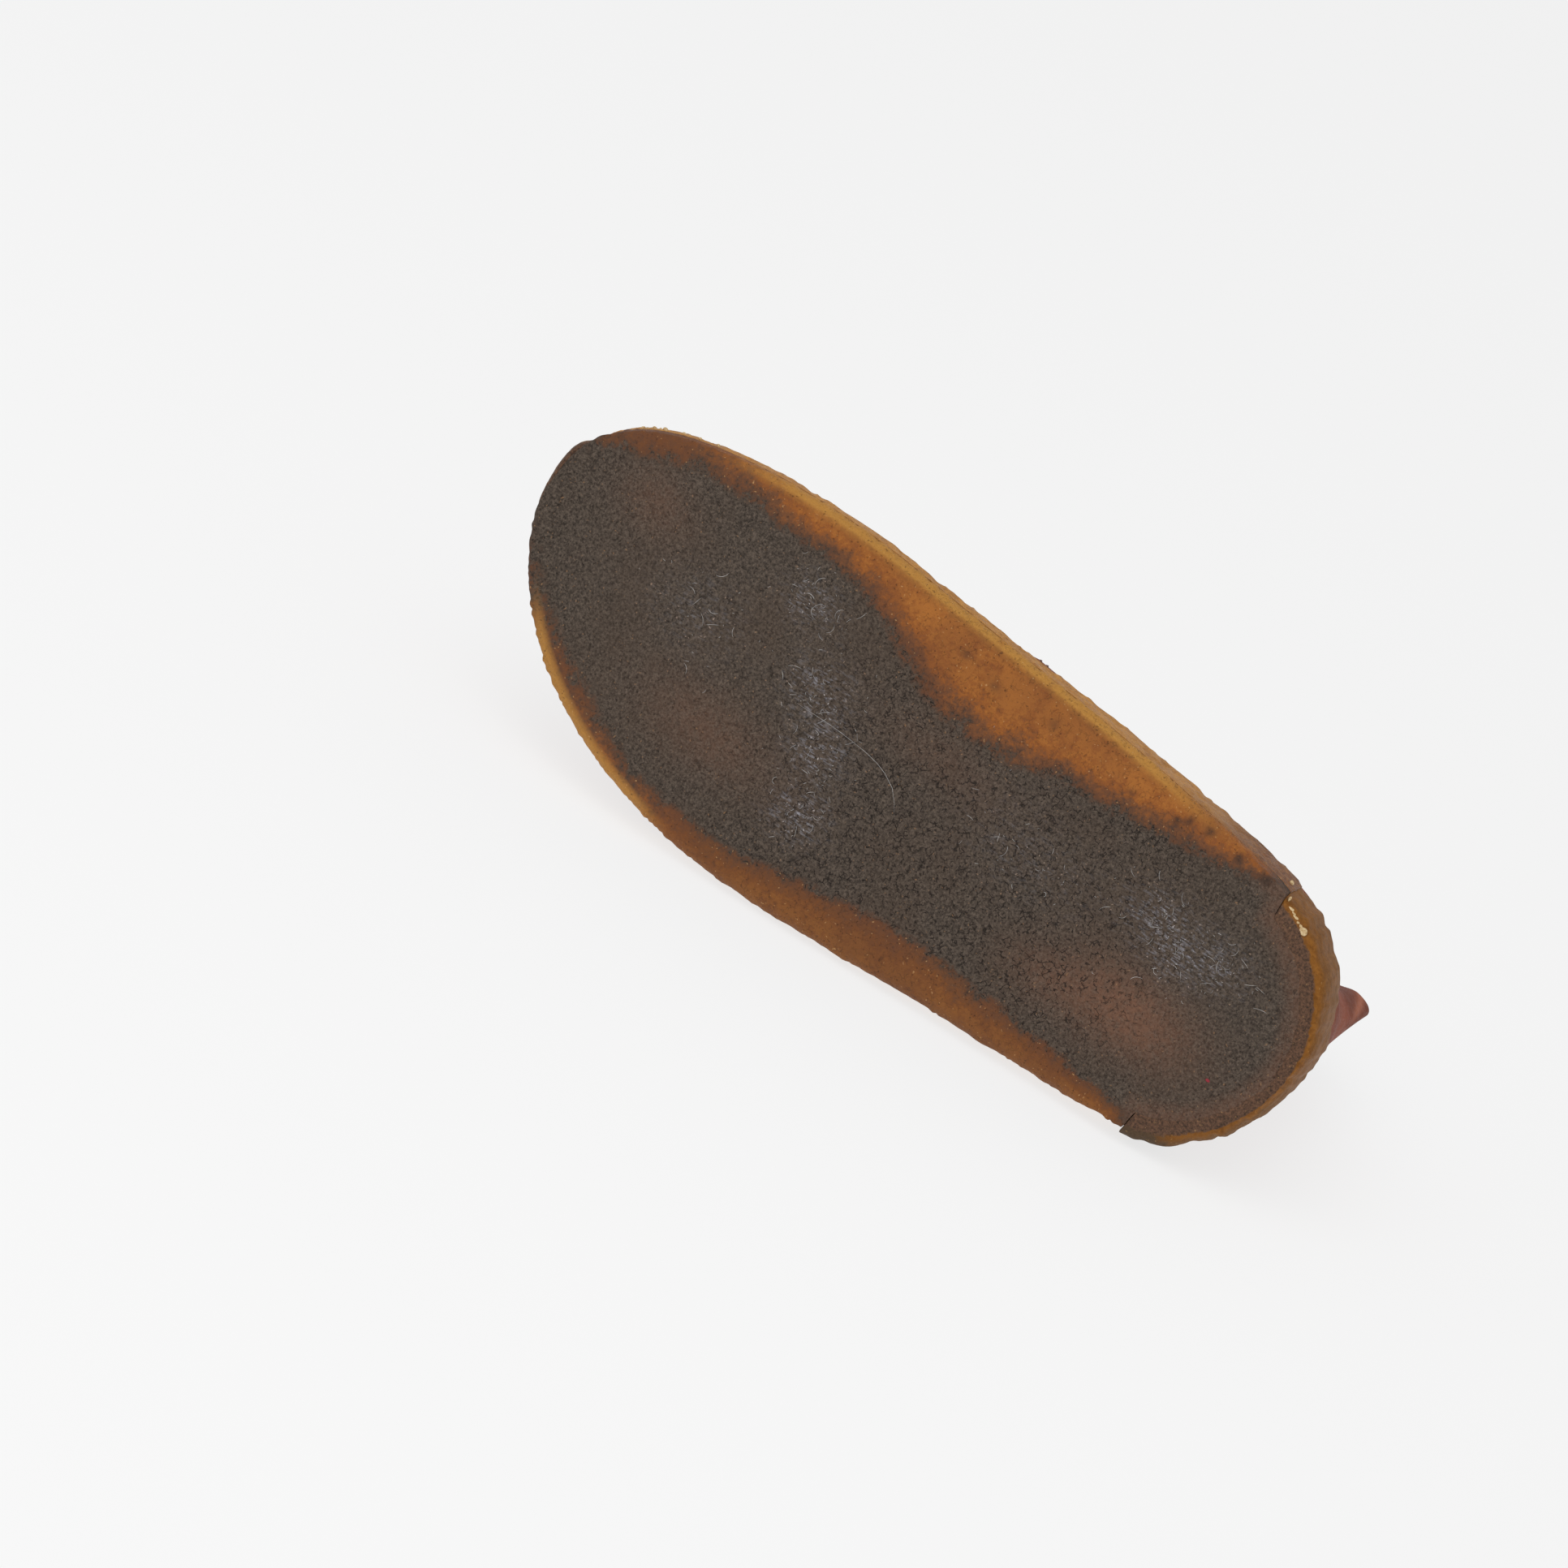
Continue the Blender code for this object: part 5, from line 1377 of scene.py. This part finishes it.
rows = np.linspace(TONGUE_PLAN[0, 0], TONGUE_PLAN[-1, 0], 90)
half = np.interp(rows, TONGUE_PLAN[:, 0], TONGUE_PLAN[:, 1])
depth = WALL + 2.0 * GAP + LACE_ROOM * step(5.4, 6.1, rows)
places = np.linspace(-1.0, 1.0, 49)
ends = {one: place_at(np.minimum(rows, COLLAR), half, one) for one in (-1.0, 1.0)}
u = np.stack([1.0 - (1.0 - ends[-1.0 if place < 0 else 1.0]) * abs(place) for place in places])
side = np.where(places < 0, -1.0, 1.0)[:, None]
points, normals = skin(u, rows, side), outward(u, rows, side)
wave = 0.35 * lumps(points, 13.0, 51) - 0.2
outer = points + normals * (wave - depth)[..., None]
points, faces, kinds = shell(outer, outer - normals * TONGUE, grid_faces(*u.shape))
add_piece("tongue_leather_sheet", lying(points), faces, [tongue_look, lining_look, cut_look],
          ["tongue"], kinds=kinds)

# %% Sock
INSOLE, INSOLE_INSET, MIDDLE = 3.0, 3.4, 90.0
# Columns: how far a ring stands in and its height over the seat.
SOCK_RINGS = [(MIDDLE, 0.0), (24.0, 0.0), (INSOLE_INSET, 0.0), (INSOLE_INSET, 2.4)]
SOCK_RINGS += [(INSOLE_INSET + 0.8, INSOLE)]
SOCK_RINGS += [(inset, INSOLE) for inset in (6.0, 9.0, 13.0, 18.0, 24.0, 31.0, 39.0, MIDDLE)]
sock_look = plain_leather("sock_leather", 1000.0, (104, 68, 44), (150, 106, 70), (0.2, 0.65), 0.0003)
u = np.linspace(0.0, 1.0, 90)


def sock_ring(inset, height):
    """Foot of the upper moved in by an inset towards the middle line of the sole, once round, at a height."""
    sides = []
    for one in (-1.0, 1.0):
        edge = skin(u, np.zeros_like(u), one)
        spine = np.clip(edge[:, 0], edge[0, 0] + 40.0, edge[-1, 0] - 50.0)
        away = np.stack([spine - edge[:, 0], centre(edge[:, 0]) - edge[:, 1]], axis=1)
        reach = np.linalg.norm(away, axis=1, keepdims=True)
        sides.append(edge[:, :2] + away / reach * np.minimum(inset, 0.97 * reach))
    ring = np.concatenate([sides[0], sides[1][-2:0:-1]])
    flat = np.column_stack([ring, ring[:, 0] * 0.0])
    dent = 0.0 if height < INSOLE else -0.25 + 0.25 * lumps(flat, 15.0, 61)
    return np.column_stack([ring, seat_height(ring[:, 0]) + GAP + height + dent])


rings = np.stack([sock_ring(inset, height) for inset, height in SOCK_RINGS])
add_grid("sock", rings, sock_look, "insole")

# %% [markdown]
# ## The lacing
# One lace holds the throat: a bar over the lowest holes, a crossing under both quarters, a crossing that
# comes out of the middle holes and goes under again, and a bar at the top that carries the knot. Every end
# dives into a hole.

# %% Lacing
OVER = QUARTER + LACE / 2.0 + GAP
UNDER = -(WALL + LACE / 2.0 + 0.15)
low, middle, high = HOLE_ROWS


def lace_run(one, stops):
    """Lace through stops of ring, distance to that side of the front line and lift, as one smooth route."""
    points = []
    for v, far, height in stops:
        way = one if far >= 0.0 else -one
        points.append(off_skin(place_at(v, abs(far), way), v, way, height))
    return smooth_route(np.array(points), STATION)


def edge_at(v):
    """Distance of the throat's edge from the front line."""
    return float(throat_half(v))


def hole_at(v):
    """Distance of a hole from the front line."""
    return edge_at(v) + HOLE_INSET


def out_of_hole(v):
    """First stops of a lace that comes up through a hole."""
    return [(v, hole_at(v) + 0.1, -3.2), (v, hole_at(v), 0.0)]


runs = []
for v in (low, high):
    half = out_of_hole(v) + [
        (v, hole_at(v) - 1.2, OVER - 0.7), (v, hole_at(v) - 3.2, OVER), (v, edge_at(v) + 3.0, OVER),
        (v, edge_at(v), OVER), (v, edge_at(v) / 2.0, OVER), (v, 0.0, OVER - 0.6),
    ]
    runs.append(lace_run(1.0, half + [(v, -far, height) for v, far, height in half[-2::-1]]))
for one in (-1.0, 1.0):
    above = one > 0
    runs.append(lace_run(one, [
        (low + 0.05, hole_at(low) - 1.5, UNDER), (low + 0.1, edge_at(low) + 2.0, UNDER),
        (low + 0.3, 5.0, -1.6 * above - 0.6), ((low + middle) / 2.0, 0.0, 0.6 - 1.9 * above),
        (middle - 0.3, -5.0, -1.4), (middle - 0.1, -edge_at(middle) - 2.0, UNDER),
        (middle, -hole_at(middle) + 1.4, UNDER + 0.6),
    ]))
    runs.append(lace_run(one, out_of_hole(middle) + [
        (middle + 0.02, hole_at(middle) - 1.2, OVER - 0.7), (middle + 0.06, edge_at(middle) + 5.5, OVER),
        (middle + 0.12, edge_at(middle) + 2.0, OVER), (middle + 0.2, edge_at(middle) - 2.5, OVER - 0.6),
        ((middle + high) / 2.0, 0.0, 0.4 + 1.9 * above), (high - 0.3, -5.5, -0.9),
        (high - 0.12, -edge_at(high) - 2.0, UNDER), (high, -hole_at(high) + 1.4, UNDER + 0.6),
    ]))
points, faces = joined([tube(run, LACE * 0.97, seed=70 + number) for number, run in enumerate(runs)])
add_piece("lacing", lying(points), faces, [lace_look],
          ["lace_bar_low", "lace_cross_low", "lace_cross_high", "lace_bar_top"])

# %% [markdown]
# ## Floor and light
# A plain pale floor carries the boot and glows a little, so that it stays nearly white. One large soft
# light stands on the camera's upper side, and a bright surround fills the shadows, as in a small studio.

# %% Floor and light
FLOOR_HALF = 8.0
WHITE = (1.0, 1.0, 1.0, 1.0)
KEY_FAR, KEY_SIZE, KEY_POWER = 1.6, 1.4, 9.5
start_look("pale_floor")
for key, value in (("Base Color", (0.2, 0.2, 0.2, 1.0)), ("Roughness", 1.0), ("Specular IOR Level", 0.0),
                   ("Emission Color", WHITE), ("Emission Strength", 0.74)):
    Bench.tree.nodes["Principled BSDF"].inputs[key].default_value = value
corners = np.array(((-1.0, -1.0, 0.0), (1.0, -1.0, 0.0), (1.0, 1.0, 0.0), (-1.0, 1.0, 0.0))) * FLOOR_HALF
ground = bpy.data.meshes.new("floor")
ground.from_pydata(corners.tolist(), [], [(0, 1, 2, 3)])
ground.materials.append(Bench.look)
floor = put_in_scene("floor", ground)

world = bpy.data.worlds.new("studio")
bpy.context.scene.world = world
world.use_nodes = True
world.node_tree.nodes["Background"].inputs["Color"].default_value = WHITE
world.node_tree.nodes["Background"].inputs["Strength"].default_value = 0.62

lamp = bpy.data.lights.new("key", "AREA")
lamp.size, lamp.energy = KEY_SIZE, KEY_POWER
way = unit(view_up * 0.6 + toward * 0.8)
level = unit(np.cross((0.0, 0.0, 1.0), way))
put_in_scene("key", lamp, (level, np.cross(way, level), way), way * KEY_FAR)
bpy.context.scene.view_settings.view_transform = "Standard"
print("lights:", [light.name for light in bpy.data.lights])
